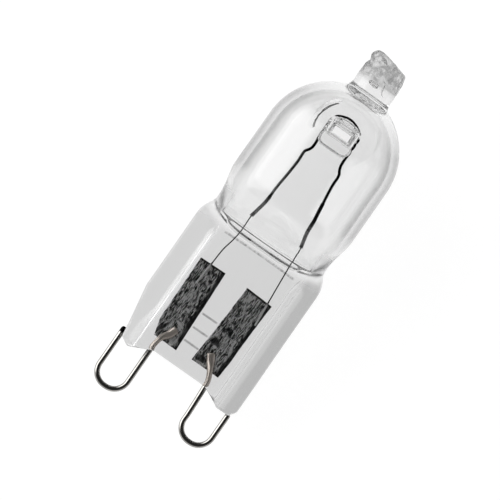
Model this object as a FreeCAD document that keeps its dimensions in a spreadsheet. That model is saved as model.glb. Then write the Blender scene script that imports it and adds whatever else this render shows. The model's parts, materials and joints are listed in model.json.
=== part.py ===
import FreeCAD, Part
import math
import os

import Sketcher

# Halogen capsule bulb with two wire loops for pins, after a photograph.
#
# The lamp is drawn upright, seen from the front: across runs to the right, the second axis runs
# away from the viewer and up runs from the loops to the tip. Up is 0 at the bottom of the loops.
# Every piece then gets one common Placement, which lays the lamp down as it comes to rest: on the
# bulb's lower shoulder and on the two rib ends of the pinch. All sizes are millimetres.

SIZES = [
    # Quartz bulb
    ("bulb_radius", 6.33, "outside radius of the round bulb"),
    ("wall", 0.75, "glass wall of the bulb"),
    ("dome_middle", 28.64, "middle of the dome's ball"),
    ("shoulder_top", 22.4, "where the round bulb starts to flatten"),
    ("shoulder_bottom", 17.2, "where the flattened glass has become the web"),
    ("waist_draw_in", 0.49, "narrowing of the waist on each side"),
    ("waist_share", 0.6, "share of the shoulder in which the waist draws in"),
    # Exhaust tip
    ("tip_radius", 1.98, "radius of the exhaust tip"),
    ("tip_top", 38.62, "highest point of the exhaust tip"),
    ("tip_cap", 3.1, "radius of the melted end's cap"),
    ("tip_flare", 0.3, "flare where the tip leaves the dome"),
    # Pinch, an H in section: two ribs joined by a web
    ("pinch_step", 0.71, "width by which the pinch stands out beyond the waist"),
    ("pinch_top", 18.8, "top of the pinch's left shoulder"),
    ("pinch_top_drop", 0.1, "drop of the right shoulder below the left one"),
    ("pinch_overlap", 0.3, "height by which the pinch runs on inside the waist"),
    ("pinch_rounding", 1.15, "rounding of the pinch's shoulders"),
    ("rib_width", 2.05, "width of each rib"),
    ("rib_depth", 4.6, "depth of the ribs, front to back"),
    ("rib_rounding", 0.45, "rounding of the ribs' front and back rims"),
    ("web_depth", 2.8, "depth of the web between the ribs"),
    ("web_fillet", 0.35, "fillet between web and rib"),
    ("web_bottom", 5.26, "lower edge of the web"),
    ("left_rib_bottom", 4.25, "lowest point of the left rib"),
    ("left_rib_low_in", 1.71, "distance of that point from the pinch's side"),
    ("left_rib_end_width", 0.82, "width of the left rib's end beside that point"),
    ("left_bevel_top", 9.7, "where the left rib starts to draw in"),
    ("right_rib_bottom", 4.33, "lowest edge of the right rib"),
    ("right_rib_low_in", 1.8, "width of that edge"),
    ("right_rib_end_slant", 0.72, "width of the slant beside that end"),
    ("right_rib_step_in", 3.65, "distance from the pinch's side to where the rib's end leaves the web"),
    ("rib_end_rounding", 0.45, "rounding of the ribs' ends"),
    # Cavity
    ("cavity_bottom", 17.85, "flat bottom of the cavity"),
    ("cavity_slot_half", 0.45, "half depth of the cavity at its bottom"),
    ("cavity_end_in", 1.49, "glass beside the cavity at its bottom"),
    # Support peg: two dimples pressed into the wall from front and back, which meet on the axis
    ("peg_across", 0.03, "offset of the peg to the right"),
    ("peg_up", 30.42, "height of the peg's middle"),
    ("peg_width", 2.66, "width of the peg"),
    ("peg_height", 2.64, "height of the peg, from its flat foot to its crown"),
    ("peg_shoulder", 1.0, "rounding of the peg's upper corners"),
    ("peg_foot_rounding", 0.35, "rounding of its lower corners"),
    ("peg_length", 1.5, "solid length between the two dimples"),
    ("peg_side_wall", 0.36, "glass at the dimples' sides"),
    ("peg_crown_wall", 0.66, "glass above the dimples"),
    ("peg_foot_wall", 1.1, "glass below the dimples"),
    ("dimple_rounding", 0.25, "rounding of the dimples' corners"),
    # Filament, doubly supported: two coiled legs and a thin bridge over the peg
    ("bridge_wire", 0.2, "thickness of the filament's bridge"),
    ("bridge_gap", 0.03, "gap between bridge and peg"),
    ("coil_width", 0.29, "outside width of the coiled legs"),
    ("foot_width", 0.38, "outside width of the overwound feet"),
    ("leg_foot", 20.1, "lower end of both legs"),
    ("kink_below_peg", 3.07, "drop from the peg's middle to the upper end of the coiled legs"),
    ("leg_kink_rise", 0.85, "height over which the legs turn in towards the peg"),
    ("left_foot_across", 2.33, "left leg at its foot"),
    ("left_bow_across", 1.87, "left leg at its bow"),
    ("left_kink_across", 1.78, "left leg at its kink"),
    ("left_foot_length", 1.5, "length of the left foot"),
    ("right_foot_across", 2.73, "right leg at its foot"),
    ("right_bow_across", 2.08, "right leg at its bow"),
    ("right_kink_across", 1.97, "right leg at its kink"),
    ("right_foot_length", 3.6, "length of the right foot"),
    ("bow_below_kink", 2.2, "drop from there to both bows"),
    # Inner leads, from the filament's feet through the seal to the foils
    ("lead_wire", 0.1, "thickness of the inner leads"),
    ("lead_reach", 0.9, "length of each lead inside the filament's foot"),
    ("lead_end", 12.25, "lower end of the leads, on the foils"),
    ("lead_turn_up", 18.6, "where the leads leave the cavity's axis"),
    ("lead_bend_up", 15.2, "where the leads turn down onto the foils"),
    ("left_lead_end_across", 3.02, "left lead at its end"),
    ("left_lead_bend_across", 2.84, "left lead at its bend"),
    ("right_lead_end_across", 3.47, "right lead at its end"),
    ("right_lead_bend_across", 3.2, "right lead at its bend"),
    # Sealing foils
    ("foil_width", 2.75, "width of the foils"),
    ("foil_thickness", 0.03, "thickness of the foils"),
    ("foil_top", 14.53, "upper edge of the foils"),
    ("foil_bottom", 6.49, "lower edge of the foils"),
    ("left_foil_top_across", 2.65, "left foil's middle at its top"),
    ("left_foil_bottom_across", 2.42, "left foil's middle at its bottom"),
    ("right_foil_top_across", 2.36, "right foil's middle at its top"),
    ("right_foil_bottom_across", 2.05, "right foil's middle at its bottom"),
    ("tear_height", 1.6, "height of the left foil's torn corner"),
    ("tear_width", 0.4, "width of the left foil's torn corner"),
    ("weld_depth", 0.01, "depth by which a wire is pressed flat on its foil"),
    # Pin loops, of wire bent to a U, one leg sealed in the pinch and one leg free
    ("loop_wire", 0.5, "thickness of the loops' wire"),
    ("loop_inset", 2.05, "distance of each loop's middle from the pinch's side; the pitch is 9.0"),
    ("loop_middle_across", 0.05, "offset of the loops' common middle to the right"),
    ("loop_width", 3.0, "distance between the two legs of a loop"),
    ("loop_bend", 1.42, "bend of the loops"),
    ("left_loop_bottom", 0, "lowest point of the left loop"),
    ("right_loop_bottom", 0.18, "lowest point of the right loop"),
    ("right_leg_lean", 0.22, "lean of the right loop's sealed leg"),
    ("left_free_end", 5.55, "upper end of the left loop's free leg"),
    ("free_end_gap", 0.08, "gap between the free legs and the glass"),
    ("lead_in_up", 6.5, "where the sealed legs turn in towards the foils"),
    ("left_weld_up", 8.1, "left weld"),
    ("left_weld_across", 2.2, "left weld, distance from the middle"),
    ("right_weld_up", 7.95, "right weld"),
    ("right_weld_across", 1.4, "right weld, distance from the middle"),
]

SHOULDER_STEPS = 7
CAVITY_STEPS = 6


# Document and sheet

doc = FreeCAD.newDocument("halogen_capsule_bulb")
sheet = doc.addObject("Spreadsheet::Sheet", "sizes")
for row, (alias, number, meaning) in enumerate(SIZES, start=1):
    sheet.set(f"A{row}", alias)
    sheet.set(f"B{row}", str(number))
    sheet.setAlias(f"B{row}", alias)
    sheet.set(f"C{row}", meaning)
doc.recompute()
KNOWN = [alias for alias, number, meaning in SIZES]

# Widths that follow from the bulb's, and heights that follow from the peg's
WAIST_HALF = "(bulb_radius - waist_draw_in)"
PINCH_HALF = f"({WAIST_HALF} + pinch_step)"
LOOP_ACROSS = f"({PINCH_HALF} - loop_inset)"
LEG_KINK = "(peg_up - kink_below_peg)"
BOW_UP = f"({LEG_KINK} - bow_below_kink)"


def cell(text):
    """An expression on the sheet: each alias in the text gets the sheet's name in front."""
    words = []
    word = ""
    for letter in text + " ":
        if letter.isalnum() or letter == "_":
            word += letter
            continue
        words.append("sizes." + word if word in KNOWN else word)
        words.append(letter)
        word = ""
    return "".join(words).strip()


def size(text):
    """The present value of an expression on the sheet."""
    return float(sheet.evalExpression(cell(text)))


# Sketches

def body_named(label):
    body = doc.addObject("PartDesign::Body", label)
    body.Label = label
    return body


def sketch_on(body, name, role, right="0", upward="0", outward="0"):
    """A sketch on one of the body's own origin planes, moved there by expressions."""
    sketch = body.newObject("Sketcher::SketchObject", name)
    plane = next(feature for feature in body.Origin.OriginFeatures if feature.Role == role)
    sketch.AttachmentSupport = [(plane, "")]
    sketch.MapMode = "FlatFace"
    for axis, text in (("x", right), ("y", upward), ("z", outward)):
        if text != "0":
            sketch.setExpression(f"AttachmentOffset.Base.{axis}", cell(text))
    return sketch


def constrain(sketch, text, kind, *geometry):
    """A constraint whose value is an expression on the sheet."""
    index = sketch.addConstraint(Sketcher.Constraint(kind, *geometry, size(text)))
    sketch.setExpression(f"Constraints[{index}]", cell(text))


def pin_point(sketch, geometry, position, across, upward):
    """Holds one point at a place given by two expressions; 0 puts it on the sketch's axis."""
    for text, kind, axis in ((across, "DistanceX", -2), (upward, "DistanceY", -1)):
        if text == "0":
            sketch.addConstraint(Sketcher.Constraint("PointOnObject", geometry, position, axis))
        else:
            constrain(sketch, text, kind, -1, 1, geometry, position)


def draw(sketch, corners, closed=True):
    """Straight lines from corner to corner, with a tangent arc at each corner that has a radius.

    A corner is (across, up) or (across, up, radius), all three expressions on the sheet.
    """
    places = [FreeCAD.Vector(size(corner[0]), size(corner[1]), 0) for corner in corners]
    count = len(corners)
    pins = []
    for place, corner in zip(places, corners):
        pin = sketch.addGeometry(Part.Point(place), True)
        pin_point(sketch, pin, 1, corner[0], corner[1])
        pins.append(pin)

    spans = [(index, (index + 1) % count) for index in range(count if closed else count - 1)]
    leave = list(places)
    reach = list(places)
    turned = [len(corner) == 3 for corner in corners]
    for index in range(count):
        if turned[index]:
            before = (places[index - 1] - places[index]).normalize()
            after = (places[(index + 1) % count] - places[index]).normalize()
            run = size(corners[index][2]) / math.tan(before.getAngle(after) / 2)
            reach[index] = places[index] + before * run
            leave[index] = places[index] + after * run

    lines = {}
    for start, end in spans:
        line = sketch.addGeometry(Part.LineSegment(leave[start], reach[end]), False)
        lines[start, end] = line
        for corner, position in ((start, 1), (end, 2)):
            if turned[corner]:
                sketch.addConstraint(Sketcher.Constraint("PointOnObject", pins[corner], 1, line))
            else:
                sketch.addConstraint(Sketcher.Constraint("Coincident", line, position, pins[corner], 1))

    for index in range(count):
        if not turned[index]:
            continue
        incoming = lines[(index - 1) % count, index]
        outgoing = lines[index, (index + 1) % count]
        before = (places[index - 1] - places[index]).normalize()
        after = (places[(index + 1) % count] - places[index]).normalize()
        radius = size(corners[index][2])
        inward = (before + after).normalize()
        centre = places[index] + inward * (radius / math.sin(before.getAngle(after) / 2))
        middle = centre - inward * radius
        arc = sketch.addGeometry(Part.Arc(reach[index], middle, leave[index]), False)
        left_turn = (before.cross(after)).z < 0
        first, last = (1, 2) if left_turn else (2, 1)
        sketch.addConstraint(Sketcher.Constraint("Tangent", incoming, 2, arc, first))
        sketch.addConstraint(Sketcher.Constraint("Tangent", outgoing, 1, arc, last))
        constrain(sketch, corners[index][2], "Radius", arc)
    return sketch


def draw_circle(sketch, radius, across="0", upward="0"):
    centre = FreeCAD.Vector(size(across), size(upward), 0)
    circle = sketch.addGeometry(Part.Circle(centre, FreeCAD.Vector(0, 0, 1), size(radius)), False)
    pin_point(sketch, circle, 3, across, upward)
    constrain(sketch, radius, "Radius", circle)
    return sketch


def draw_capsule(sketch, radius):
    """Half the section of the round gas space: from the axis out, up the side and over to the axis."""
    across = size(radius)
    low = size("shoulder_top")
    middle = size("dome_middle")
    foot = sketch.addGeometry(
        Part.LineSegment(FreeCAD.Vector(0, low, 0), FreeCAD.Vector(across, low, 0)), False)
    side = sketch.addGeometry(
        Part.LineSegment(FreeCAD.Vector(across, low, 0), FreeCAD.Vector(across, middle, 0)), False)
    ball = Part.Circle(FreeCAD.Vector(0, middle, 0), FreeCAD.Vector(0, 0, 1), across)
    dome = sketch.addGeometry(Part.ArcOfCircle(ball, 0, math.pi / 2), False)
    axis = sketch.addGeometry(
        Part.LineSegment(FreeCAD.Vector(0, middle + across, 0), FreeCAD.Vector(0, low, 0)), False)
    pin_point(sketch, foot, 1, "0", "shoulder_top")
    pin_point(sketch, foot, 2, radius, "shoulder_top")
    pin_point(sketch, dome, 3, "0", "dome_middle")
    sketch.addConstraint(Sketcher.Constraint("Coincident", foot, 2, side, 1))
    sketch.addConstraint(Sketcher.Constraint("Tangent", side, 2, dome, 1))
    sketch.addConstraint(Sketcher.Constraint("PointOnObject", dome, 2, -2))
    sketch.addConstraint(Sketcher.Constraint("Coincident", dome, 2, axis, 1))
    sketch.addConstraint(Sketcher.Constraint("Coincident", axis, 2, foot, 1))
    return sketch


def draw_ellipse(sketch, half_width, half_depth):
    """An ellipse about the sketch's origin, wider across than it is deep."""
    wide = FreeCAD.Vector(size(half_width), 0, 0)
    deep = FreeCAD.Vector(0, size(half_depth), 0)
    ellipse = sketch.addGeometry(Part.Ellipse(wide, deep, FreeCAD.Vector(0, 0, 0)), False)
    sketch.exposeInternalGeometry(ellipse)
    long_axis = ellipse + 1
    short_axis = ellipse + 2
    sketch.addConstraint(Sketcher.Constraint("Coincident", ellipse, 3, -1, 1))
    sketch.addConstraint(Sketcher.Constraint("Horizontal", long_axis))
    constrain(sketch, f"2 * ({half_width})", "Distance", long_axis)
    constrain(sketch, f"2 * ({half_depth})", "Distance", short_axis)
    return sketch


# Features

def revolve(body, kind, name, sketch, axis):
    feature = body.newObject(f"PartDesign::{kind}", name)
    feature.Profile = sketch
    feature.ReferenceAxis = (sketch, [axis])
    feature.Angle = 360
    return feature


def loft(body, name, sketches, ruled=False):
    feature = body.newObject("PartDesign::AdditiveLoft", name)
    feature.Profile = sketches[0]
    feature.Sections = sketches[1:]
    feature.Ruled = ruled
    return feature


def round_edges(body, name, feature, radius, wanted):
    """Rounds the edges of the feature for which wanted(edge) is true."""
    doc.recompute()
    edges = [f"Edge{number}" for number, edge in enumerate(feature.Shape.Edges, start=1) if wanted(edge)]
    fillet = body.newObject("PartDesign::Fillet", name)
    fillet.Base = (feature, edges)
    fillet.setExpression("Radius", cell(radius))
    return fillet


def wire_along(body, name, width, corners, outward):
    """A round wire of the given width along straight runs and arcs, in front of the middle plane."""
    route = sketch_on(body, f"{name}_route", "XZ_Plane", outward=outward)
    draw(route, corners, closed=False)
    doc.recompute()
    section = body.newObject("Sketcher::SketchObject", f"{name}_section")
    section.AttachmentSupport = [(route, "Edge1")]
    section.MapMode = "NormalToEdge"
    draw_circle(section, f"{width} / 2")
    sweep = body.newObject("PartDesign::AdditivePipe", f"{name}_sweep")
    sweep.Profile = section
    sweep.Spine = route
    sweep.Transition = "Right corner"
    return sweep


def cut_away(label, base, tool):
    result = doc.addObject("Part::Cut", label)
    result.Base = base
    result.Tool = tool
    result.Label = label
    return result


# Glass: the round bulb with its dome and tip, the shoulder that flattens it, and the pinch

def shoulder_sections(body, steps, bottom, half_width, radius, end_width, end_depth):
    """Sections from a circle at the shoulder's top down to a flat oval at the given height.

    The depth follows a half cosine wave; the width has drawn in to half_width at the waist, and to
    end_width at the bottom.
    """
    first = sketch_on(body, "section_0", "XY_Plane", outward="shoulder_top")
    draw_circle(first, radius)
    sketches = [first]
    for number in range(1, steps + 1):
        part = number / steps
        depth_left = f"(1 + cos(180deg * {part:.6f})) / 2"
        width_left = f"(1 + cos(180deg * min(1; {part:.6f} / waist_share))) / 2"
        height = f"shoulder_top - (shoulder_top - {bottom}) * {part:.6f}"
        sketch = sketch_on(body, f"section_{number}", "XY_Plane", outward=height)
        width = f"{half_width} + ({radius} - {half_width}) * {width_left}"
        draw_ellipse(
            sketch,
            f"{width} - ({half_width} - {end_width}) * {part:.6f}",
            f"{end_depth} + ({radius} - {end_depth}) * {depth_left}",
        )
        sketches.append(sketch)
    return sketches


def draw_bulb_outline(sketch):
    """Half the outline of bulb and tip: up the side, over the dome, past the flare and up the tip."""
    radius = size("bulb_radius")
    low = size("shoulder_top")
    middle = size("dome_middle")
    narrow = size("tip_radius")
    flare = size("tip_flare")
    cap_radius = size("tip_cap")
    top = size("tip_top")
    dome_end = math.acos((narrow + flare) / radius)
    flare_up = middle + radius * math.sin(dome_end)
    cap_start = math.acos(narrow / cap_radius)
    cap_up = top - cap_radius * (1 - math.sin(cap_start))

    def line(x1, y1, x2, y2):
        return sketch.addGeometry(
            Part.LineSegment(FreeCAD.Vector(x1, y1, 0), FreeCAD.Vector(x2, y2, 0)), False)

    def arc(y, arc_radius, start, end):
        circle = Part.Circle(FreeCAD.Vector(0, y, 0), FreeCAD.Vector(0, 0, 1), arc_radius)
        return sketch.addGeometry(Part.ArcOfCircle(circle, start, end), False)

    foot = line(0, low, radius, low)
    side = line(radius, low, radius, middle)
    dome = arc(middle, radius, 0, dome_end)
    root = line(narrow + flare, flare_up, narrow, flare_up + flare)
    tip_side = line(narrow, flare_up + flare, narrow, cap_up)
    cap = arc(top - cap_radius, cap_radius, cap_start, math.pi / 2)
    axis = line(0, top, 0, low)

    pin_point(sketch, foot, 1, "0", "shoulder_top")
    pin_point(sketch, foot, 2, "bulb_radius", "shoulder_top")
    pin_point(sketch, dome, 3, "0", "dome_middle")
    pin_point(sketch, axis, 1, "0", "tip_top")
    for kind, *places in (
        ("Coincident", foot, 2, side, 1),
        ("Tangent", side, 2, dome, 1),
        ("Coincident", dome, 2, root, 1),
        ("Coincident", root, 2, tip_side, 1),
        ("Vertical", tip_side),
        ("Coincident", tip_side, 2, cap, 1),
        ("PointOnObject", cap, 3, -2),
        ("Coincident", cap, 2, axis, 1),
        ("Coincident", axis, 2, foot, 1),
    ):
        sketch.addConstraint(Sketcher.Constraint(kind, *places))
    constrain(sketch, "tip_radius + tip_flare", "DistanceX", -1, 1, root, 1)
    constrain(sketch, "tip_radius", "DistanceX", -1, 1, root, 2)
    constrain(sketch, "tip_flare", "DistanceY", root, 1, root, 2)
    constrain(sketch, "tip_cap", "Radius", cap)


def make_bulb_outside():
    """Cylinder, dome and exhaust tip, turned about the axis; a short flare joins the tip to the dome."""
    body = body_named("bulb_outside")
    profile = sketch_on(body, "bulb_profile", "XZ_Plane")
    draw_bulb_outline(profile)
    revolve(body, "Revolution", "bulb_round", profile, "V_Axis")
    return body


def make_shoulder():
    body = body_named("shoulder_outside")
    loft(body, "shoulder", shoulder_sections(
        body, SHOULDER_STEPS, "shoulder_bottom", WAIST_HALF, "bulb_radius", WAIST_HALF, "web_depth / 2"))
    return body


def make_pinch():
    """The pinch: an outline with uneven rib ends, thinned to a web between the ribs."""
    body = body_named("pinch_outside")
    outline = sketch_on(body, "pinch_outline", "XZ_Plane")
    waist_inner = f"({WAIST_HALF} - pinch_rounding)"
    left_leg_inner = f"loop_middle_across - {LOOP_ACROSS} - loop_width / 2 + loop_wire / 2 + free_end_gap"
    left_low = f"-({PINCH_HALF} - left_rib_low_in)"
    right_low = f"{PINCH_HALF} - right_rib_low_in"
    draw(outline, [
        (waist_inner, "pinch_top + pinch_overlap"),
        (f"-{waist_inner}", "pinch_top + pinch_overlap"),
        (f"-{PINCH_HALF}", "pinch_top", "pinch_rounding"),
        (f"-{PINCH_HALF}", "left_bevel_top", "rib_width"),
        (left_leg_inner, "left_free_end"),
        (f"{left_low} - left_rib_end_width", "left_rib_bottom + rib_end_rounding", "rib_end_rounding"),
        (left_low, "left_rib_bottom", "rib_end_rounding"),
        (f"{left_low} + rib_width", "web_bottom"),
        (f"{PINCH_HALF} - right_rib_step_in", "web_bottom"),
        (f"{right_low} - right_rib_end_slant", "right_rib_bottom + rib_end_rounding"),
        (right_low, "right_rib_bottom", "rib_end_rounding"),
        (PINCH_HALF, "right_rib_bottom", "rib_width / 2"),
        (PINCH_HALF, "pinch_top - pinch_top_drop", "pinch_rounding"),
    ])
    plate = body.newObject("PartDesign::Pad", "pinch_plate")
    plate.Profile = outline
    plate.Midplane = True
    plate.setExpression("Length", cell("rib_depth"))

    rim = size("rib_depth") / 2
    round_edges(
        body, "rib_rims", plate, "rib_rounding",
        lambda edge: abs(abs(edge.BoundBox.Center.y) - rim) < 1e-6 and edge.BoundBox.YLength < 1e-6,
    )

    inner_edge = f"({PINCH_HALF} - rib_width)"
    beyond = f"({PINCH_HALF} + rib_width)"
    recess = sketch_on(body, "web_recesses", "XY_Plane", outward="pinch_top")
    for side in ("", "-"):
        outer = f"{side}rib_depth"
        face = f"{side}rib_depth / 2"
        inner = f"{side}web_depth / 2"
        draw(recess, [
            (beyond, outer),
            (f"-{beyond}", outer),
            (f"-{beyond}", face),
            (f"-{inner_edge}", face, "rib_rounding"),
            (f"-{inner_edge}", inner, "web_fillet"),
            (inner_edge, inner, "web_fillet"),
            (inner_edge, face, "rib_rounding"),
            (beyond, face),
        ])
    web = body.newObject("PartDesign::Pocket", "web")
    web.Profile = recess
    web.Type = "ThroughAll"
    web.Midplane = True
    return body


# The peg's outline, the dimples' inside it, and the bridge's outside it
PEG_HALF = "(peg_width / 2)"
PEG_FOOT = "(peg_up - peg_height / 2)"
PEG_CROWN = "(peg_up + peg_height / 2)"
INNER_RADIUS = "(bulb_radius - wall)"


def make_cavity():
    """The gas space: the bulb less its wall, closing to a flat slot at the seal.

    The peg is left standing in it, from the front wall to the back wall.
    """
    body = body_named("cavity")
    profile = sketch_on(body, "cavity_profile", "XZ_Plane")
    draw_capsule(profile, INNER_RADIUS)
    revolve(body, "Revolution", "cavity_round", profile, "V_Axis")
    loft(body, "cavity_shoulder", shoulder_sections(
        body, CAVITY_STEPS, "cavity_bottom", f"({WAIST_HALF} - wall)", INNER_RADIUS,
        f"({WAIST_HALF} - cavity_end_in)", "cavity_slot_half"), ruled=True)
    peg = sketch_on(body, "peg_outline", "XZ_Plane", right="peg_across")
    draw(peg, [
        (PEG_HALF, PEG_FOOT, "peg_foot_rounding"),
        (PEG_HALF, PEG_CROWN, "peg_shoulder"),
        (f"-{PEG_HALF}", PEG_CROWN, "peg_shoulder"),
        (f"-{PEG_HALF}", PEG_FOOT, "peg_foot_rounding"),
    ])
    column = body.newObject("PartDesign::Pocket", "peg_column")
    column.Profile = peg
    column.Type = "ThroughAll"
    column.Midplane = True
    return body


def make_dimples():
    """The air in the two dimples, pressed in from front and back until they nearly meet."""
    body = body_named("dimples")
    half = f"({PEG_HALF} - peg_side_wall)"
    for name, side in (("front_dimple", ""), ("back_dimple", "-")):
        outline = sketch_on(
            body, f"{name}_outline", "XZ_Plane", right="peg_across", outward=f"{side}peg_length / 2")
        draw(outline, [
            (half, f"{PEG_FOOT} + peg_foot_wall", "dimple_rounding"),
            (half, f"{PEG_CROWN} - peg_crown_wall", "dimple_rounding"),
            (f"-{half}", f"{PEG_CROWN} - peg_crown_wall", "dimple_rounding"),
            (f"-{half}", f"{PEG_FOOT} + peg_foot_wall", "dimple_rounding"),
        ])
        press = body.newObject("PartDesign::Pad", name)
        press.Profile = outline
        press.Reversed = side == "-"
        press.setExpression("Length", cell("bulb_radius"))
    return body


# Metal: loops, foils, inner leads and filament

LOOP_PLANE = "foil_thickness / 2 + loop_wire / 2 - weld_depth"
LEAD_PLANE = "foil_thickness / 2 + lead_wire / 2 - weld_depth"


def make_loop(label, side):
    """One pin loop: from its weld on the foil, out of the web, round the bend and up its free leg."""
    body = body_named(f"{label}_wire")
    if side == "left":
        sign = "-"
        sealed = f"(loop_middle_across - {LOOP_ACROSS} + loop_width / 2)"
        free = f"(loop_middle_across - {LOOP_ACROSS} - loop_width / 2)"
        entry = sealed
        free_end = "left_free_end"
    else:
        sign = ""
        sealed = f"(loop_middle_across + {LOOP_ACROSS} - loop_width / 2)"
        free = f"(loop_middle_across + {LOOP_ACROSS} + loop_width / 2)"
        entry = f"({sealed} - right_leg_lean)"
        free_end = "right_rib_bottom - free_end_gap"
    low = f"{side}_loop_bottom + loop_wire / 2"
    wire_along(body, label, "loop_wire", [
        (f"{sign}{side}_weld_across", f"{side}_weld_up"),
        (entry, "lead_in_up"),
        (sealed, low, "loop_bend"),
        (free, low, "loop_bend"),
        (free, free_end),
    ], LOOP_PLANE)
    return body


def make_foil(label, side):
    """One sealing foil, upright and centred in the web's depth, leaning a little to the middle."""
    body = body_named(label)
    sign = "-" if side == "left" else ""
    outline = sketch_on(body, f"{label}_outline", "XZ_Plane")
    top = f"{sign}{side}_foil_top_across"
    bottom = f"{sign}{side}_foil_bottom_across"
    corners = [
        (f"{top} - foil_width / 2", "foil_top"),
        (f"{top} + foil_width / 2", "foil_top"),
        (f"{bottom} + foil_width / 2", "foil_bottom"),
    ]
    if side == "left":
        corners += [
            (f"{bottom} - foil_width / 2 + tear_width", "foil_bottom"),
            (f"{bottom} - foil_width / 2", "foil_bottom + tear_height"),
        ]
    else:
        corners += [(f"{bottom} - foil_width / 2", "foil_bottom")]
    draw(outline, corners)
    strip = body.newObject("PartDesign::Pad", f"{label}_strip")
    strip.Profile = outline
    strip.Midplane = True
    strip.setExpression("Length", cell("foil_thickness"))
    return body


def make_lead(label, side):
    """One inner lead, from its weld on the foil up through the seal into the filament's foot."""
    body = body_named(f"{label}_wire")
    sign = "-" if side == "left" else ""
    foot = f"{sign}{side}_foot_across"
    bend = f"{sign}{side}_lead_bend_across"
    wire_along(body, label, "lead_wire", [
        (f"{sign}{side}_lead_end_across", "lead_end"),
        (bend, "lead_bend_up"),
        (foot, "lead_turn_up"),
        (foot, "leg_foot + lead_reach"),
    ], LEAD_PLANE)
    return body


def make_filament():
    """The filament: coiled legs with overwound feet, and a thin bridge bent over the peg."""
    body = body_named("filament_wire")
    off_peg = "(bridge_gap + bridge_wire / 2)"
    arch_bend = f"(peg_shoulder + {off_peg})"
    arch_top = f"{PEG_CROWN} + {off_peg}"
    left_arch = f"peg_across - {PEG_HALF} - {off_peg}"
    right_arch = f"peg_across + {PEG_HALF} + {off_peg}"
    kink_top = f"{LEG_KINK} + leg_kink_rise"
    wire_along(body, "bridge", "bridge_wire", [
        ("-left_kink_across", f"{LEG_KINK} - 1"),
        ("-left_kink_across", LEG_KINK),
        (left_arch, kink_top),
        (left_arch, arch_top, arch_bend),
        (right_arch, arch_top, arch_bend),
        (right_arch, kink_top),
        ("right_kink_across", LEG_KINK),
        ("right_kink_across", f"{LEG_KINK} - 1"),
    ], LEAD_PLANE)
    for side, sign in (("left", "-"), ("right", "")):
        foot = f"{sign}{side}_foot_across"
        bow = f"{sign}{side}_bow_across"
        share = f"{side}_foot_length / ({BOW_UP} - leg_foot)"
        wire_along(body, f"{side}_coil", "coil_width", [
            (foot, "leg_foot"),
            (bow, BOW_UP),
            (f"{sign}{side}_kink_across", LEG_KINK),
        ], LEAD_PLANE)
        wire_along(body, f"{side}_foot", "foot_width", [
            (foot, "leg_foot"),
            (f"{foot} + ({bow} - {foot}) * {share}", f"leg_foot + {side}_foot_length"),
        ], LEAD_PLANE)
    return body


# Assembly: hollow glass with the metal sealed in it

bulb = make_bulb_outside()
shoulder = make_shoulder()
pinch = make_pinch()
cavity = make_cavity()
dimples = make_dimples()
foil_left = make_foil("foil_left", "left")
foil_right = make_foil("foil_right", "right")
loop_left_wire = make_loop("pin_loop_left", "left")
loop_right_wire = make_loop("pin_loop_right", "right")
lead_left_wire = make_lead("inner_lead_left", "left")
lead_right_wire = make_lead("inner_lead_right", "right")
filament_wire = make_filament()

glass_outside = doc.addObject("Part::MultiFuse", "glass_outside")
glass_outside.Shapes = [bulb, shoulder, pinch]
glass_outside.Refine = True
glass_hollow = cut_away("glass_hollow", glass_outside, cavity)
glass_dimpled = cut_away("glass_dimpled", glass_hollow, dimples)

pin_loop_left = cut_away("pin_loop_left", loop_left_wire, foil_left)
pin_loop_right = cut_away("pin_loop_right", loop_right_wire, foil_right)
inner_lead_left = cut_away("inner_lead_left", lead_left_wire, foil_left)
inner_lead_right = cut_away("inner_lead_right", lead_right_wire, foil_right)
filament_bored = cut_away("filament_bored", filament_wire, inner_lead_left)
filament = cut_away("filament", filament_bored, inner_lead_right)

sealed_metal = doc.addObject("Part::MultiFuse", "sealed_metal")
sealed_metal.Shapes = [
    foil_left, foil_right,
    pin_loop_left, pin_loop_right,
    inner_lead_left, inner_lead_right,
]
quartz_envelope = cut_away("quartz_envelope", glass_dimpled, sealed_metal)
doc.recompute()

SUB_PARTS = [
    quartz_envelope,
    filament,
    inner_lead_left,
    inner_lead_right,
    foil_left,
    foil_right,
    pin_loop_left,
    pin_loop_right,
]


# Rest: the lamp lies on the bulb's shoulder and on the rib ends, with its tip raised

TILT_STEPS = 400
TILT_HALVINGS = 50


def shoulder_reach(tilt):
    """How far down the shoulder and the bulb reach, with the lamp laid down at this tilt."""
    top = size("shoulder_top")
    length = top - size("shoulder_bottom")
    round_part = size("bulb_radius") - size("web_depth") / 2
    reach = []
    for step in range(TILT_STEPS):
        up = top - length * step / TILT_STEPS
        depth = size("web_depth") / 2 + round_part * (1 + math.cos(math.pi * step / TILT_STEPS)) / 2
        reach.append(depth * math.cos(tilt) - up * math.sin(tilt))
    return max(reach)


def rib_reach(tilt):
    """How far down the rounded rim of the lower rib end reaches at this tilt."""
    rounding = size("rib_rounding")
    depth = size("rib_depth") / 2 - rounding
    up = size("left_rib_bottom") + rounding
    return depth * math.cos(tilt) - up * math.sin(tilt) + rounding


def resting_tilt():
    """The tilt at which bulb and rib ends reach equally far down, found by halving."""
    low = 0.0
    high = math.pi / 4
    for halving in range(TILT_HALVINGS):
        tilt = (low + high) / 2
        if shoulder_reach(tilt) > rib_reach(tilt):
            low = tilt
        else:
            high = tilt
    return tilt


def laid_down(tilt):
    """Turns up to the raised +X, across to -Y, and the lamp's back down to the floor."""
    matrix = FreeCAD.Matrix(
        0, math.sin(tilt), math.cos(tilt), 0,
        -1, 0, 0, 0,
        0, -math.cos(tilt), math.sin(tilt), 0,
        0, 0, 0, 1,
    )
    return FreeCAD.Placement(matrix)


BODIES = [
    bulb, shoulder, pinch, cavity, dimples, foil_left, foil_right,
    loop_left_wire, loop_right_wire, lead_left_wire, lead_right_wire, filament_wire,
]


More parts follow.
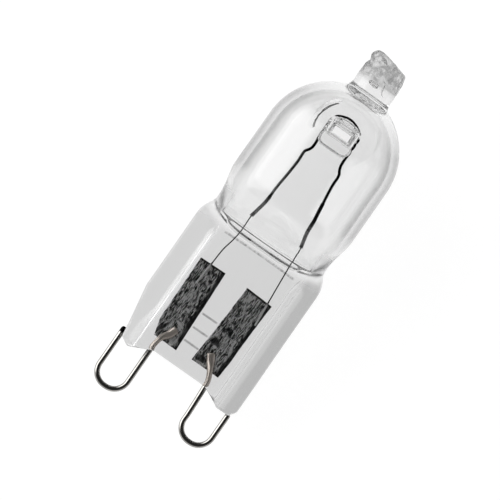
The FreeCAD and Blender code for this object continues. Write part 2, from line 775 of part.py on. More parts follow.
def place_all(placement):
    for body in BODIES:
        body.Placement = placement
    doc.recompute()


def stand_on_origin(placement):
    """Moves the laid lamp so that the middle of its box's underside is the origin."""
    whole = Part.makeCompound([piece.Shape for piece in SUB_PARTS]).optimalBoundingBox(False)
    placement.Base = FreeCAD.Vector(-whole.Center.x, -whole.Center.y, -whole.ZMin)
    return placement


rest = laid_down(resting_tilt())
place_all(rest)
place_all(stand_on_origin(rest))


# Checks and output

for item in doc.Objects:
    if "Invalid" in item.State or "Error" in item.State:
        raise RuntimeError(f"{item.Label} failed: {item.State}")
for piece in SUB_PARTS:
    if piece.Shape.isNull() or not piece.Shape.isValid() or len(piece.Shape.Solids) != 1:
        raise RuntimeError(f"{piece.Label} isn't one valid solid")

os.makedirs("parts", exist_ok=True)
for piece in SUB_PARTS:
    piece.Shape.exportStep(f"parts/{piece.Label}.step")
    print(f"{piece.Label}: {piece.Shape.Volume:.4f} mm3")
print(f"resting tilt: {math.degrees(resting_tilt()):.3f} degrees")
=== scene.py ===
import json
import logging
import math
from dataclasses import dataclass
from enum import Enum
from typing import Any, Callable

import bpy
import numpy as np
from mathutils import Matrix, Vector


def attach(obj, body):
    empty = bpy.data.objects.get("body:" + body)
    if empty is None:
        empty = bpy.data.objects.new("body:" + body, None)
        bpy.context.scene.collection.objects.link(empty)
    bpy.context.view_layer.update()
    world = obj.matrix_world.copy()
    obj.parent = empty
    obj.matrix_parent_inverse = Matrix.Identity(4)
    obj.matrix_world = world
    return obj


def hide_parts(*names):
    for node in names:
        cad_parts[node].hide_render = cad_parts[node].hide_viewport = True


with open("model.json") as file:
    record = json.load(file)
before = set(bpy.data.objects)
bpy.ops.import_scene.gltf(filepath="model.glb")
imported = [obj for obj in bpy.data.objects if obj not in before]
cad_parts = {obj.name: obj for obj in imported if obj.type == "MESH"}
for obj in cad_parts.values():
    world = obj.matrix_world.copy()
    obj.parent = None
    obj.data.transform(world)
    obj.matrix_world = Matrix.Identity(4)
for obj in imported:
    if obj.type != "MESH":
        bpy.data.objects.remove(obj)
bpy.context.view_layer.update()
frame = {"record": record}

# Halogen capsule bulb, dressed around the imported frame. Shapes are drawn on the upright lamp, in
# millimetres: across runs to the right, away runs from the viewer to the back, and up runs from the
# loops to the tip. LampFrame lays them down where the frame's lamp lies.

log = logging.getLogger("bulb")

MM = 0.001
SQUARE = ((-1, -1), (1, -1), (1, 1), (-1, 1))

# A form gives each point its distance, negative inside. A mesh is its points and its faces. A pair is the
# two ends of a range or one place, and a route is the places that a line or an outline runs through.
Array = np.ndarray
Form = Callable[[Array], Array]
Mesh = tuple[Array, list[list[int]]]
Pair = tuple[float, float]
Route = tuple[Pair, ...]


class Side(Enum):
    """The lamp's two sides, by their way across."""

    LEFT = -1
    RIGHT = 1

    @property
    def word(self) -> str:
        """The side as the names of pieces and nodes have it."""
        return self.name.lower()


# Small tools

def hex_color(code: str) -> tuple[float, float, float, float]:
    """Turns an sRGB hex value into Blender's linear colour.

    Args:
        code: six hex digits, such as "c0c4c8".

    Returns:
        Linear red, green and blue, with an alpha of 1.
    """
    shares = [int(code[at:at + 2], 16) / 255 for at in (0, 2, 4)]
    linear = [s / 12.92 if s <= 0.04045 else ((s + 0.055) / 1.055) ** 2.4 for s in shares]
    return (linear[0], linear[1], linear[2], 1.0)


def soft_min(first: Array, second: Array, blend: float) -> Array:
    """The smaller of two distances, with a rounding of about the blend where they cross."""
    share = np.clip(0.5 + 0.5 * (second - first) / blend, 0, 1)
    return second + (first - second) * share - blend * share * (1 - share)


def soft_max(first: Array, second: Array, blend: float) -> Array:
    """The larger of two distances, with a rounding of about the blend where they cross."""
    return -soft_min(-first, -second, blend)


def ramp(value: Array, start: float, end: float) -> Array:
    """A smooth step from 0 at the start to 1 at the end, which may lie below the start."""
    share = np.clip((value - start) / (end - start), 0, 1)
    return share * share * (3 - 2 * share)


def outline_distance(across: Array, up: Array, corners: list[Pair]) -> Array:
    """Signed distance to a closed outline of straight lines, negative inside.

    Args:
        across: first coordinate of each point.
        up: second coordinate of each point.
        corners: the outline's corners in order.

    Returns:
        One distance for each point.
    """
    nearest = np.full(across.shape, np.inf)
    inside = np.zeros(across.shape, bool)
    for (ax, ay), (bx, by) in zip(corners, corners[1:] + corners[:1]):
        run_x, run_y = bx - ax, by - ay
        share = ((across - ax) * run_x + (up - ay) * run_y) / (run_x ** 2 + run_y ** 2)
        share = np.clip(share, 0, 1)
        away = np.hypot(across - ax - run_x * share, up - ay - run_y * share)
        nearest = np.minimum(nearest, away)
        if ay != by:
            crosses = (ay <= up) != (by <= up)
            inside ^= crosses & (across < ax + (up - ay) * run_x / run_y)
    return np.where(inside, -nearest, nearest)


def ripple(points: Array, waves: int, length: float, seed: int) -> Array:
    """A smooth uneven field between about -1 and 1, as a sum of slanted waves.

    Args:
        points: places in millimetres, any shape that ends in 3.
        waves: how many waves are added.
        length: typical wavelength in millimetres.
        seed: start of the waves' directions and phases.

    Returns:
        One value for each point.
    """
    coarsest, finest = 0.7, 1.5
    draw = np.random.default_rng(seed)
    total = np.zeros(points.shape[:-1])
    for _ in range(waves):
        direction = draw.normal(size=3)
        direction *= 2 * math.pi / length / np.linalg.norm(direction) * draw.uniform(coarsest, finest)
        total += np.sin(points @ direction + draw.uniform(0, 2 * math.pi))
    return total / math.sqrt(waves)


@dataclass(frozen=True)
class LampFrame:
    """Where the upright lamp's own axes lie in the row frame, read from the record's mounts."""

    origin: Vector
    across: Vector
    away: Vector
    up: Vector

    @classmethod
    def from_record(cls, record: dict[str, Any]) -> "LampFrame":
        """Reads the axes from the left pin loop and the pinch's front face.

        Args:
            record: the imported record, with its mounts.

        Returns:
            The frame of the upright lamp.
        """
        mounts = {mount["name"]: mount for mount in record["mounts"]}
        left = Vector(mounts["left_pin_loop"]["pos_m"])
        up = -Vector(mounts["left_pin_loop"]["axis"]).normalized()
        away = -Vector(mounts["pinch_face"]["axis"]).normalized()
        across = away.cross(up)
        loops = PinLoop()
        start = across * -loops.left_middle + away * loops.plane + up * loops.wire / 2
        return cls(left - start * MM, across, away, up)

    def place(self, points: Array) -> Array:
        """Lamp coordinates in millimetres to the row frame in metres."""
        axes = np.array([self.across, self.away, self.up])
        return np.asarray(points) @ axes * MM + np.array(self.origin)

    def spot(self, across: float, away: float, up: float) -> Vector:
        """One point of the lamp in the row frame."""
        return Vector(self.place(np.array([across, away, up])))


# Meshes

def add_piece(name: str, mesh_data: Mesh, lamp: LampFrame, material: bpy.types.Material,
              replaced: str) -> bpy.types.Object:
    """Makes one piece of the lamp, riding on the frame in the place of a node.

    Args:
        name: the piece's name.
        mesh_data: its points in lamp millimetres and its faces.
        lamp: the lamp's frame.
        material: its finish.
        replaced: the node that it stands for.

    Returns:
        The new object.
    """
    points, faces = mesh_data
    mesh = bpy.data.meshes.new(name)
    mesh.from_pydata(lamp.place(points).tolist(), [], faces)
    mesh.update()
    mesh.shade_smooth()
    add_vectors(mesh, "lamp_mm", points)
    mesh.materials.append(material)
    piece = bpy.data.objects.new(name, mesh)
    bpy.context.scene.collection.objects.link(piece)
    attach(piece, "root")
    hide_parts(replaced)
    log.info("%s: %d faces", name, len(mesh.polygons))
    return piece


def add_vectors(mesh: bpy.types.Mesh, name: str, vectors: Array) -> None:
    """Gives each point of a mesh a vector that its material can read."""
    spots = mesh.attributes.new(name, "FLOAT_VECTOR", "POINT")
    spots.data.foreach_set("vector", np.asarray(vectors, np.float32).ravel())


def window(field: Array, corner: Array, cells: tuple[int, ...]) -> Array:
    """The grid's values at one corner of every cell."""
    return field[tuple(slice(k, k + n) for k, n in zip(corner, cells))]


def surface_net(form: Form, low: Array, high: Array, step: float) -> tuple[Array, Array]:
    """Quads over the surface where a form changes sign.

    One point is set in each grid cell that the surface crosses, and is then moved onto the surface.

    Args:
        form: signed distance, negative inside.
        low: lowest corner of the space that is searched.
        high: highest corner of that space.
        step: width of a cell.

    Returns:
        The points, and the four point numbers of each quad.
    """
    lines = [np.arange(start, end + step, step) for start, end in zip(low, high)]
    value = form(np.stack(np.meshgrid(*lines, indexing="ij"), axis=-1))
    inside = value < 0
    cells = tuple(length - 1 for length in value.shape)
    total = np.zeros(cells + (3,))
    count = np.zeros(cells)
    corners = [np.array([a, b, c]) for a in (0, 1) for b in (0, 1) for c in (0, 1)]
    for axis in range(3):
        for corner in corners:
            if corner[axis]:
                continue
            other = corner.copy()
            other[axis] = 1
            first, second = window(value, corner, cells), window(value, other, cells)
            crossed = window(inside, corner, cells) != window(inside, other, cells)
            share = np.where(crossed, first / np.where(crossed, first - second, 1), 0)
            place = np.broadcast_to(corner.astype(float), cells + (3,)).copy()
            place[..., axis] = share
            total += place * crossed[..., None]
            count += crossed
    active = count > 0
    number = np.full(cells, -1)
    number[active] = np.arange(active.sum())
    points = np.asarray(low) + (np.argwhere(active) + total[active] / count[active][:, None]) * step
    return settled(form, points, step), net_quads(inside, number)


def net_quads(inside: Array, number: Array) -> Array:
    """The quads of a surface net, one round each grid edge that the surface crosses.

    Args:
        inside: whether each grid point lies inside the form.
        number: point number of each cell.

    Returns:
        The four point numbers of each quad.
    """
    quads = []
    for axis in range(3):
        b, c = (axis + 1) % 3, (axis + 2) % 3
        near = [slice(1, -1)] * 3
        far = [slice(1, -1)] * 3
        near[axis] = slice(0, -1)
        far[axis] = slice(1, None)
        start, end = inside[tuple(near)], inside[tuple(far)]
        for wanted, order in ((start & ~end, 1), (~start & end, -1)):
            spots = np.argwhere(wanted)
            spots[:, b] += 1
            spots[:, c] += 1
            around = []
            for step_b, step_c in ((-1, -1), (0, -1), (0, 0), (-1, 0))[::order]:
                cell = spots.copy()
                cell[:, b] += step_b
                cell[:, c] += step_c
                around.append(number[tuple(cell.T)])
            quads.append(np.stack(around, axis=1))
    return np.concatenate(quads)


def settled(form: Form, points: Array, step: float) -> Array:
    """The points, moved onto the form's surface in a few short moves.

    Args:
        form: signed distance, negative inside.
        points: places near the surface.
        step: width of a grid cell; no move is longer than half of it.

    Returns:
        The moved points.
    """
    moves, least_slope, least_reach = 4, 0.05, 1e-9
    for _ in range(moves):
        slope = gradient(form, points)
        size = np.maximum((slope ** 2).sum(axis=1), least_slope)
        move = -slope * (form(points) / size)[:, None]
        reach = np.maximum(np.linalg.norm(move, axis=1), least_reach)
        points = points + move * np.minimum(1, 0.5 * step / reach)[:, None]
    return points


def gradient(form: Form, points: Array) -> Array:
    """The form's slope at each point, by small steps to either side.

    Args:
        form: signed distance.
        points: places in lamp millimetres.

    Returns:
        One slope for each point.
    """
    step = 0.01
    slope = np.empty_like(points)
    for axis in range(3):
        shift = np.zeros(3)
        shift[axis] = step
        slope[:, axis] = (form(points + shift) - form(points - shift)) / (2 * step)
    return slope


def run_along(line: Array) -> Array:
    """Distance of each of a line's points from its start, along the line."""
    return np.concatenate([[0], np.cumsum(np.linalg.norm(np.diff(line, axis=0), axis=1))])


def evenly(line: Array, spacing: float) -> Array:
    """The same line with points at even steps.

    Args:
        line: points on it, in two or three coordinates.
        spacing: length of a step, rounded so that the steps fill the line.

    Returns:
        The new points.
    """
    run = run_along(line)
    places = np.linspace(0, run[-1], max(2, round(run[-1] / spacing) + 1))
    return np.stack([np.interp(places, run, line[:, k]) for k in range(line.shape[1])], axis=1)


def bent(points: Route | list[Pair], plane: float, spacing: float) -> Array:
    """A smooth line through points in the plane across and up, evenly divided.

    Args:
        points: (across, up) in millimetres.
        plane: the line's distance away.
        spacing: length of each step.

    Returns:
        Points on the line.
    """
    steps_between = 16
    ends = [2 * np.array(points[0]) - points[1], 2 * np.array(points[-1]) - points[-2]]
    knots = np.array([ends[0], *points, ends[1]], float)
    dense = []
    for a, b, c, d in zip(knots, knots[1:], knots[2:], knots[3:]):
        for t in np.linspace(0, 1, steps_between, endpoint=False):
            dense.append(0.5 * (2 * b + (c - a) * t + (2 * a - 5 * b + 4 * c - d) * t ** 2
                                + (3 * b - a - 3 * c + d) * t ** 3))
    dense.append(knots[-2])
    flat = evenly(np.array(dense), spacing)
    return np.stack([flat[:, 0], np.full(len(flat), plane), flat[:, 1]], axis=1)


def along(line: Array) -> Array:
    """The line's direction at each of its points."""
    tangent = np.gradient(line, axis=0)
    return tangent / np.linalg.norm(tangent, axis=1)[:, None]


def wire(line: Array, wide: Array | float, deep: Array | float, sides: int,
         upright: Array | None = None) -> Mesh:
    """A wire of oval section along a line, with rounded ends.

    Args:
        line: points on its middle.
        wide: half its width in the plane of its bends, one value or one for each point.
        deep: half its depth across that plane.
        sides: points round its section.
        upright: direction across the plane of its bends, one or one for each point.

    Returns:
        Its points and faces.
    """
    end_shares = (0.8, 0.45)
    wide = np.broadcast_to(wide, len(line)).copy()
    deep = np.broadcast_to(deep, len(line)).copy()
    upright = np.array([0.0, 1.0, 0.0]) if upright is None else upright
    tangent = along(line)
    side = np.cross(tangent, upright)
    side /= np.linalg.norm(side, axis=1)[:, None]
    deep_way = np.cross(side, tangent)
    turn = np.linspace(0, 2 * math.pi, sides, endpoint=False)
    rings = (line[:, None] + side[:, None] * (np.cos(turn)[None, :, None] * wide[:, None, None])
             + deep_way[:, None] * (np.sin(turn)[None, :, None] * deep[:, None, None]))
    points = rings.reshape(-1, 3)
    faces = []
    for ring in range(len(line) - 1):
        faces += band(list(range(ring * sides, (ring + 1) * sides)),
                      list(range((ring + 1) * sides, (ring + 2) * sides)))
    for ring, sign in ((0, -1), (len(line) - 1, 1)):
        last = list(range(ring * sides, (ring + 1) * sides))
        for share in end_shares:
            bulge = tangent[ring] * sign * min(wide[ring], deep[ring]) * math.sqrt(1 - share ** 2)
            new = line[ring] + (rings[ring] - line[ring]) * share + bulge
            fresh = list(range(len(points), len(points) + sides))
            points = np.concatenate([points, new])
            faces += [quad[::sign] for quad in band(last, fresh)]
            last = fresh
        faces.append(last[::sign])
    return points, faces


def band(first: list[int], second: list[int]) -> list[list[int]]:
    """The quads between two rings of equally many points."""
    count = len(first)
    return [[first[k], first[(k + 1) % count], second[(k + 1) % count], second[k]] for k in range(count)]


def joined(parts: list[Mesh]) -> Mesh:
    """Several meshes as one.

    Args:
        parts: points and faces of each.

    Returns:
        All points, and all faces with their numbers moved on.
    """
    points, faces, count = [], [], 0
    for some_points, some_faces in parts:
        points.append(some_points)
        faces += [[index + count for index in face] for face in some_faces]
        count += len(some_points)
    return np.concatenate(points), faces


# Materials

class Nodes:
    """The node tree of one material or of the world."""

    def __init__(self, owner: bpy.types.Material | bpy.types.World) -> None:
        """Starts with an empty tree.

        Args:
            owner: the material or world that the tree belongs to.
        """
        owner.use_nodes = True
        self.tree = owner.node_tree
        self.tree.nodes.clear()

    def add(self, kind: str, out: int | str = 0, **values: Any) -> Any:
        """Adds one node with its settings and links.

        Args:
            kind: the node's type, without "ShaderNode".
            out: the output that is handed back, by number or name.
            values: settings by their names, which start with a small letter, and a value, a hex colour or a
                socket for each input: by name, with _ for a space, or by number, as in0. The steps of a
                colour ramp are given as stops.

        Returns:
            That output, or None where the node has none.
        """
        node = self.tree.nodes.new("ShaderNode" + kind)
        for key, value in values.items():
            number = key[2:]
            if key == "stops":
                for index, (place, code) in enumerate(value):
                    steps = node.color_ramp.elements
                    step = steps[index] if index < len(steps) else steps.new(place)
                    step.position, step.color = place, hex_color(code)
            elif key[0].islower() and not number.isdigit():
                setattr(node, key, value)
            else:
                socket = node.inputs[int(number) if number.isdigit() else key.replace("_", " ")]
                if isinstance(value, bpy.types.NodeSocket):
                    self.tree.links.new(value, socket)
                else:
                    socket.default_value = hex_color(value) if isinstance(value, str) else value
        return node.outputs[out] if node.outputs else None


class LampNodes(Nodes):
    """The tree of a new material, with the point's place on the upright lamp in millimetres."""

    def __init__(self, name: str) -> None:
        """Starts the material and reads the place, with its across and up alone.

        Args:
            name: the material's name.
        """
        self.material = bpy.data.materials.new(name)
        super().__init__(self.material)
        self.place = self.add("Attribute", "Vector", attribute_name="lamp_mm")
        self.across, _, self.up = self.add("SeparateXYZ", Vector=self.place).node.outputs


def span(ends: Pair) -> dict[str, float]:
    """The inputs of a range node that runs from 0 at the first end to 1 at the second."""
    return {"From_Min": ends[0], "From_Max": ends[1]}


@dataclass(frozen=True)
class PressLine:
    """A fine upright ridge that the press left on a rib."""

    across: float
    width: float
    share: float = 0.5


@dataclass(frozen=True)
class Fold:
    """A fine level fold in the web, its shade painted as a broken darker line that may sag towards its
    ends.
    """

    up: float
    sag: float = 0.0
    half_width: float = 0.14
    middle: float = -0.22
    half_length: float = 0.78
    grey: float = 0.6
    broken: float = 0.3
    core: float = 0.3
    end_fade: float = 0.1


# Fused quartz, blown to a bulb and pressed flat while soft. It is water clear and faintly rippled where it
# was blown, with painted shade on its rim where the surface turns from view; dull and milky at the melted
# tip; greyer still and finely ridged where the press chilled it, with painted shade on the right rib's
# outer side and on the web's folds; and roughened at both sides of the waist, where the press let go.
@dataclass(frozen=True)
class FusedQuartz:
    """Fused quartz: its greys, the shade painted on its rim, right rib and fold lines, its rough places and
    the marks of blowing and pressing.
    """

    clear: str = "f5f5f5"
    pressed: str = "dedede"
    # Painted shade on the outer side of the right rib, the side away from the light.
    painted_shade_right_rib: str = "c6c6c6"
    # Painted shade: the grey of the rim, where the surface turns from view.
    rim: str = "828282"
    frosted: str = "9c9c9c"
    # Painted shade of the web's folds and of the waist line.
    fold: str = "2c2c2c"
    ior: float = 1.458
    grey_per_mm: float = 0.02
    pressed_up: Pair = (18.6, 17.4)
    painted_shade_right_rib_across: Pair = (4.9, 5.2)
    painted_shade_rim_facing: Pair = (0.35, 0.75)
    painted_shade_rim_up: Pair = (20.6, 23.6)
    painted_shade_rim_fades_up: Pair = (34.0, 31.5)
    painted_shade_rim_at_tip: float = 0.1
    milky_up: Pair = (35.5, 36.5)
    milky_skin: Pair = (1.75, 1.85)
    milky_end_up: Pair = (36.6, 36.8)
    milky_patches: Pair = (0.4, 0.6)
    milky_least: float = 0.25
    frost_up: Pair = (36.0, 36.7)
    frost_patches: Pair = (0.42, 0.6)
    frost_roughness: Pair = (0.02, 0.45)
    cheek_across: Pair = (4.3, 4.8)
    cheek_from_up: Pair = (17.2, 17.9)
    cheek_to_up: Pair = (21.8, 20.8)
    cheek_roughness: float = 0.3
    patch_mm: float = 0.625
    ripple_mm: float = 2.4
    ripple_height_mm: float = 0.012
    ripple_strength: float = 0.25
    lump_mm: float = 0.5
    lump_height_mm: float = 0.1
    press_line_height_mm: float = 0.03
    strand_stretch: tuple[float, float, float] = (3.0, 0.1, 1.0)
    strand_gaps: Pair = (0.58, 0.42)
    press_lines: tuple[PressLine, ...] = (
        PressLine(-4.42, 0.08, 1.0), PressLine(4.78, 0.07), PressLine(6.15, 0.1))
    fold_shade_lines: tuple[Fold, ...] = (
        Fold(10.49), Fold(9.02), Fold(7.64),
        Fold(17.66, sag=-0.006, half_width=0.16, half_length=3.7, middle=0.2, broken=0.8))

    def material(self) -> bpy.types.Material:
        """Builds the glass.

        Returns:
            The material.
        """
        nodes = LampNodes("fused_quartz")
        pinch = nodes.add("MapRange", interpolation_type="SMOOTHSTEP", Value=nodes.up,
                          **span(self.pressed_up))
        melted = nodes.add("MapRange", interpolation_type="SMOOTHSTEP", Value=nodes.up,
                           **span(self.frost_up))
        spots = nodes.add("TexNoise", Vector=nodes.place, Scale=1 / self.patch_mm, Detail=4.0,
                          Roughness=0.6)
        color = self.painted_fold_shade(nodes, self.milky_tip(nodes, spots, self.zones(nodes, pinch)))
        glass = nodes.add("BsdfPrincipled", Base_Color=color, IOR=self.ior, Transmission_Weight=1.0,
                          Roughness=self.roughness(nodes, melted, spots),
                          Normal=self.relief(nodes, pinch, melted))
        grey = nodes.add("VolumeAbsorption", Color="000000", Density=self.grey_per_mm / MM)
        nodes.add("OutputMaterial", Surface=glass, Volume=grey)
        return nodes.material

    def zones(self, nodes: LampNodes, pinch: Any) -> Any:
        """Colours the clear bulb with painted shade on its rim, the pinch, and painted shade on the outer
        side of the right rib.

        Args:
            nodes: the material's tree.
            pinch: share of pressed glass.

        Returns:
            The colour.
        """
        # Painted shade on the right rib's outer side, in the pinch only.
        right = nodes.add("MapRange", interpolation_type="SMOOTHSTEP", Value=nodes.across,
                          **span(self.painted_shade_right_rib_across))
        right = nodes.add("Math", operation="MULTIPLY", in0=right, in1=pinch)
        # Painted shade on the rim, by how far the surface turns from view, from the shoulder up and fading
        # below the tip.
        rim = nodes.add("MapRange", interpolation_type="SMOOTHSTEP",
                        Value=nodes.add("LayerWeight", "Facing", Blend=0.5), **span(self.painted_shade_rim_facing))
        blown = nodes.add("MapRange", Value=nodes.up, **span(self.painted_shade_rim_up))
        below_tip = nodes.add("MapRange", Value=nodes.up, To_Min=self.painted_shade_rim_at_tip, **span(self.painted_shade_rim_fades_up))
        for share in (blown, below_tip):
            rim = nodes.add("Math", operation="MULTIPLY", in0=rim, in1=share)
        color: Any = self.clear
        for share, tint in ((pinch, self.pressed), (right, self.painted_shade_right_rib), (rim, self.rim)):
            color = nodes.add("Mix", 2, data_type="RGBA", in0=share, in6=color, in7=tint)
        return color

    def milky_tip(self, nodes: LampNodes, spots: Any, color: Any) -> Any:
        """Tints the melted tip's skin and end in milky patches, so that its inside stays clear.

        Args:
            nodes: the material's tree.
            spots: the patches' noise.
            color: the colour so far.

        Returns:
            The colour with the tint.
        """
        share = nodes.add("MapRange", interpolation_type="SMOOTHSTEP", Value=nodes.up,
                          **span(self.milky_up))
        off = nodes.add("VectorMath", operation="MULTIPLY", in0=nodes.place, in1=(1.0, 1.0, 0.0))
        off = nodes.add("VectorMath", "Value", operation="LENGTH", in0=off)
        skin = nodes.add("Math", operation="MAXIMUM",
                         in0=nodes.add("MapRange", Value=off, **span(self.milky_skin)),
                         in1=nodes.add("MapRange", Value=nodes.up, **span(self.milky_end_up)))
        patches = nodes.add("MapRange", Value=spots, To_Min=self.milky_least, **span(self.milky_patches))
        for part in (skin, patches):
            share = nodes.add("Math", operation="MULTIPLY", in0=share, in1=part)
        return nodes.add("Mix", 2, data_type="RGBA", in0=share, in6=color, in7=self.frosted)

    def painted_fold_shade(self, nodes: LampNodes, color: Any) -> Any:
        """Paints each fold's shade over the colour, as a line broken up by strands that run along it.

        Args:
            nodes: the material's tree.
            color: the colour so far.

        Returns:
            The colour with the folds.
        """
        strands = nodes.add("Mapping", Vector=nodes.place, Scale=self.strand_stretch)
        strands = nodes.add("TexNoise", Vector=strands, Scale=1 / self.patch_mm, Detail=4.0, Roughness=0.7)
        square = nodes.add("Math", operation="MULTIPLY", in0=nodes.across, in1=nodes.across)
        share: Any = 0.0
        # Painted shade: one darker line for each fold.
        for fold in self.fold_shade_lines:
            off = nodes.add("Math", operation="MULTIPLY_ADD", in0=square, in1=-fold.sag, in2=nodes.up)
            off = nodes.add("Math", operation="SUBTRACT", in0=off, in1=fold.up)
            off = nodes.add("Math", operation="ABSOLUTE", in0=off)
            line = nodes.add("MapRange", interpolation_type="SMOOTHSTEP", Value=off,
                             From_Min=fold.half_width, From_Max=fold.core * fold.half_width)
            off = nodes.add("Math", operation="SUBTRACT", in0=nodes.across, in1=fold.middle)
            off = nodes.add("Math", operation="ABSOLUTE", in0=off)
            ends = nodes.add("MapRange", Value=off, From_Min=fold.half_length + fold.end_fade,
                             From_Max=fold.half_length - fold.end_fade)
            uneven = nodes.add("MapRange", Value=strands, To_Min=fold.grey * (1 - fold.broken),
                               To_Max=fold.grey, **span(self.strand_gaps))
            for part in (ends, uneven):
                line = nodes.add("Math", operation="MULTIPLY", in0=line, in1=part)
            share = nodes.add("Math", operation="MAXIMUM", in0=line, in1=share)
        return nodes.add("Mix", 2, data_type="RGBA", in0=share, in6=color, in7=self.fold)

    def roughness(self, nodes: LampNodes, melted: Any, spots: Any) -> Any:
        """Makes the melted tip dull in patches, and both sides of the waist evenly.

        Args:
            nodes: the material's tree.
            melted: share of melted glass.
            spots: the patches' noise.

        Returns:
            The roughness.
        """
        least, most = self.frost_roughness
        frost = nodes.add("MapRange", Value=spots, To_Min=least, To_Max=most, **span(self.frost_patches))
        frost = nodes.add("Math", operation="MULTIPLY", in0=melted, in1=frost)
        cheek = nodes.add("MapRange", Value=nodes.add("Math", operation="ABSOLUTE", in0=nodes.across),
                          To_Max=self.cheek_roughness, **span(self.cheek_across))
        for ends in (self.cheek_to_up, self.cheek_from_up):
            cheek = nodes.add("Math", operation="MULTIPLY", in0=cheek,
                              in1=nodes.add("MapRange", Value=nodes.up, **span(ends)))
        return nodes.add("Math", operation="MAXIMUM", in0=frost, in1=cheek)

    def relief(self, nodes: LampNodes, pinch: Any, melted: Any) -> Any:
        """Adds the ripple of blown glass, the melted tip's fine lumps and the press lines.

        Args:
            nodes: the material's tree.
            pinch: share of pressed glass.
            melted: share of melted glass.

        Returns:
            The normal.
        """
        waves = nodes.add("TexNoise", Vector=nodes.place, Scale=1 / self.ripple_mm, Detail=2.0,
                          Roughness=0.45)
        lumps = nodes.add("TexNoise", Vector=nodes.place, Scale=1 / self.lump_mm, Detail=3.0,
                          Roughness=0.55)
        lumps = nodes.add("Math", operation="MULTIPLY", in0=lumps, in1=melted)
        lines: Any = 0.0
        for mark in self.press_lines:
            off = nodes.add("Math", operation="SUBTRACT", in0=nodes.across, in1=mark.across)
            off = nodes.add("Math", operation="ABSOLUTE", in0=off)
            line = nodes.add("MapRange", interpolation_type="SMOOTHSTEP", Value=off,
                             From_Min=mark.width, From_Max=0.0, To_Max=mark.share)
            lines = nodes.add("Math", operation="ADD", in0=line, in1=lines)
        lines = nodes.add("Math", operation="MULTIPLY", in0=lines, in1=pinch)
        normal = nodes.add("Bump", Strength=self.ripple_strength, Distance=self.ripple_height_mm * MM,
                           Height=waves)
        for height, tall in ((lumps, self.lump_height_mm), (lines, self.press_line_height_mm)):
            normal = nodes.add("Bump", Strength=1.0, Distance=tall * MM, Height=height, Normal=normal)
        return normal


@dataclass(frozen=True)
class DrawnMetal:
    """Drawn wire: smooth, with faintly darker and lighter stretches of oxide along it.

    Where it is sealed in the pinch, light gets in behind it and it looks paler; that light is painted into
    its colour. The snipped free end is painted dark, as shade.
    """

    name: str
    light: str
    dark: str
    metallic: float = 1.0
    roughness: float = 0.3
    grain_mm: float = 0.12
    # Painted light: the paler colour of the sealed part, where light gets in behind the wire.
    sealed: str = ""
    sealed_up: Pair = (0.0, 0.0)
    sealed_metallic: float = 0.5
    free_across: Pair = (4.4, 4.6)
    # Painted shade on the free end of the wire.
    cut_end_shade: str = "0c0c0c"
    cut_end_shade_up: Pair = (4.95, 5.05)
    edge: str = "000000"
    grain_stretch: tuple[float, float, float] = (1.0, 1.0, 0.25)
    grain_share: float = 0.4
    grain_height_mm: float = 0.004
    stretch_mm: float = 10 / 11
    grain_strength: float = 0.3
    tone_steps: Pair = (0.35, 0.65)
    gloss_steps: Pair = (0.3, 0.7)
    gloss_spread: Pair = (0.1, -0.08)

    def material(self) -> bpy.types.Material:
        """Builds the metal, with its colour and gloss broken up along the wire.

        Returns:
            The material.
        """
        nodes = LampNodes(self.name)
        drawn = nodes.add("Mapping", Vector=nodes.place, Scale=self.grain_stretch)
        grain = nodes.add("TexNoise", Vector=drawn, Scale=1 / self.grain_mm, Detail=3.0)
        patch = nodes.add("TexNoise", Vector=nodes.place, Scale=1 / self.stretch_mm, Detail=3.0)
        patch = nodes.add("Math", operation="MULTIPLY", in0=patch, in1=1 - self.grain_share)
        mixed = nodes.add("Math", operation="MULTIPLY_ADD", in0=grain, in1=self.grain_share, in2=patch)
        dark_to, light_from = self.tone_steps
        color = nodes.add("ValToRGB", Fac=mixed, stops=((dark_to, self.dark), (light_from, self.light)))
        shine: Any = self.metallic
        if self.sealed:
            side = nodes.add("Math", operation="ABSOLUTE", in0=nodes.across)
            inner = nodes.add("MapRange", Value=side, **span(self.free_across[::-1]))
            outer = nodes.add("MapRange", Value=side, **span(self.free_across))
            # Painted light on the sealed part, away from the free end.
            sealed_painted_light = nodes.add("Math", operation="MULTIPLY", in0=inner,
                             in1=nodes.add("MapRange", Value=nodes.up, **span(self.sealed_up)))
            # Painted shade on the wire's free end.
            end = nodes.add("Math", operation="MULTIPLY", in0=outer,
                            in1=nodes.add("MapRange", Value=nodes.up, **span(self.cut_end_shade_up)))
            for share, tint in ((sealed_painted_light, self.sealed), (end, self.cut_end_shade)):
                color = nodes.add("Mix", 2, data_type="RGBA", in0=share, in6=color, in7=tint)
            shine = nodes.add("MapRange", Value=sealed_painted_light, To_Min=self.metallic, To_Max=self.sealed_metallic)
        dull, glossy = self.gloss_spread
        gloss = nodes.add("MapRange", Value=mixed, To_Min=self.roughness + dull,
                          To_Max=self.roughness + glossy, **span(self.gloss_steps))
        bump = nodes.add("Bump", Strength=self.grain_strength, Distance=self.grain_height_mm * MM,
                         Height=grain)
        metal = nodes.add("BsdfPrincipled", Base_Color=color, Metallic=shine, Roughness=gloss,
                          Specular_Tint=self.edge, Normal=bump)
        nodes.add("OutputMaterial", Surface=metal)
        return nodes.material


@dataclass(frozen=True)
class Flake:
    """An oval place of the foil, painted bright as the reflection where the quartz has let go, or painted
    dark as the shade of a crease.
    """

    across: float
    up: float
    half_wide: float
    half_tall: float
    turn_deg: float = 0.0
    tint: str = "ffffff"
    strength: float = 1.0
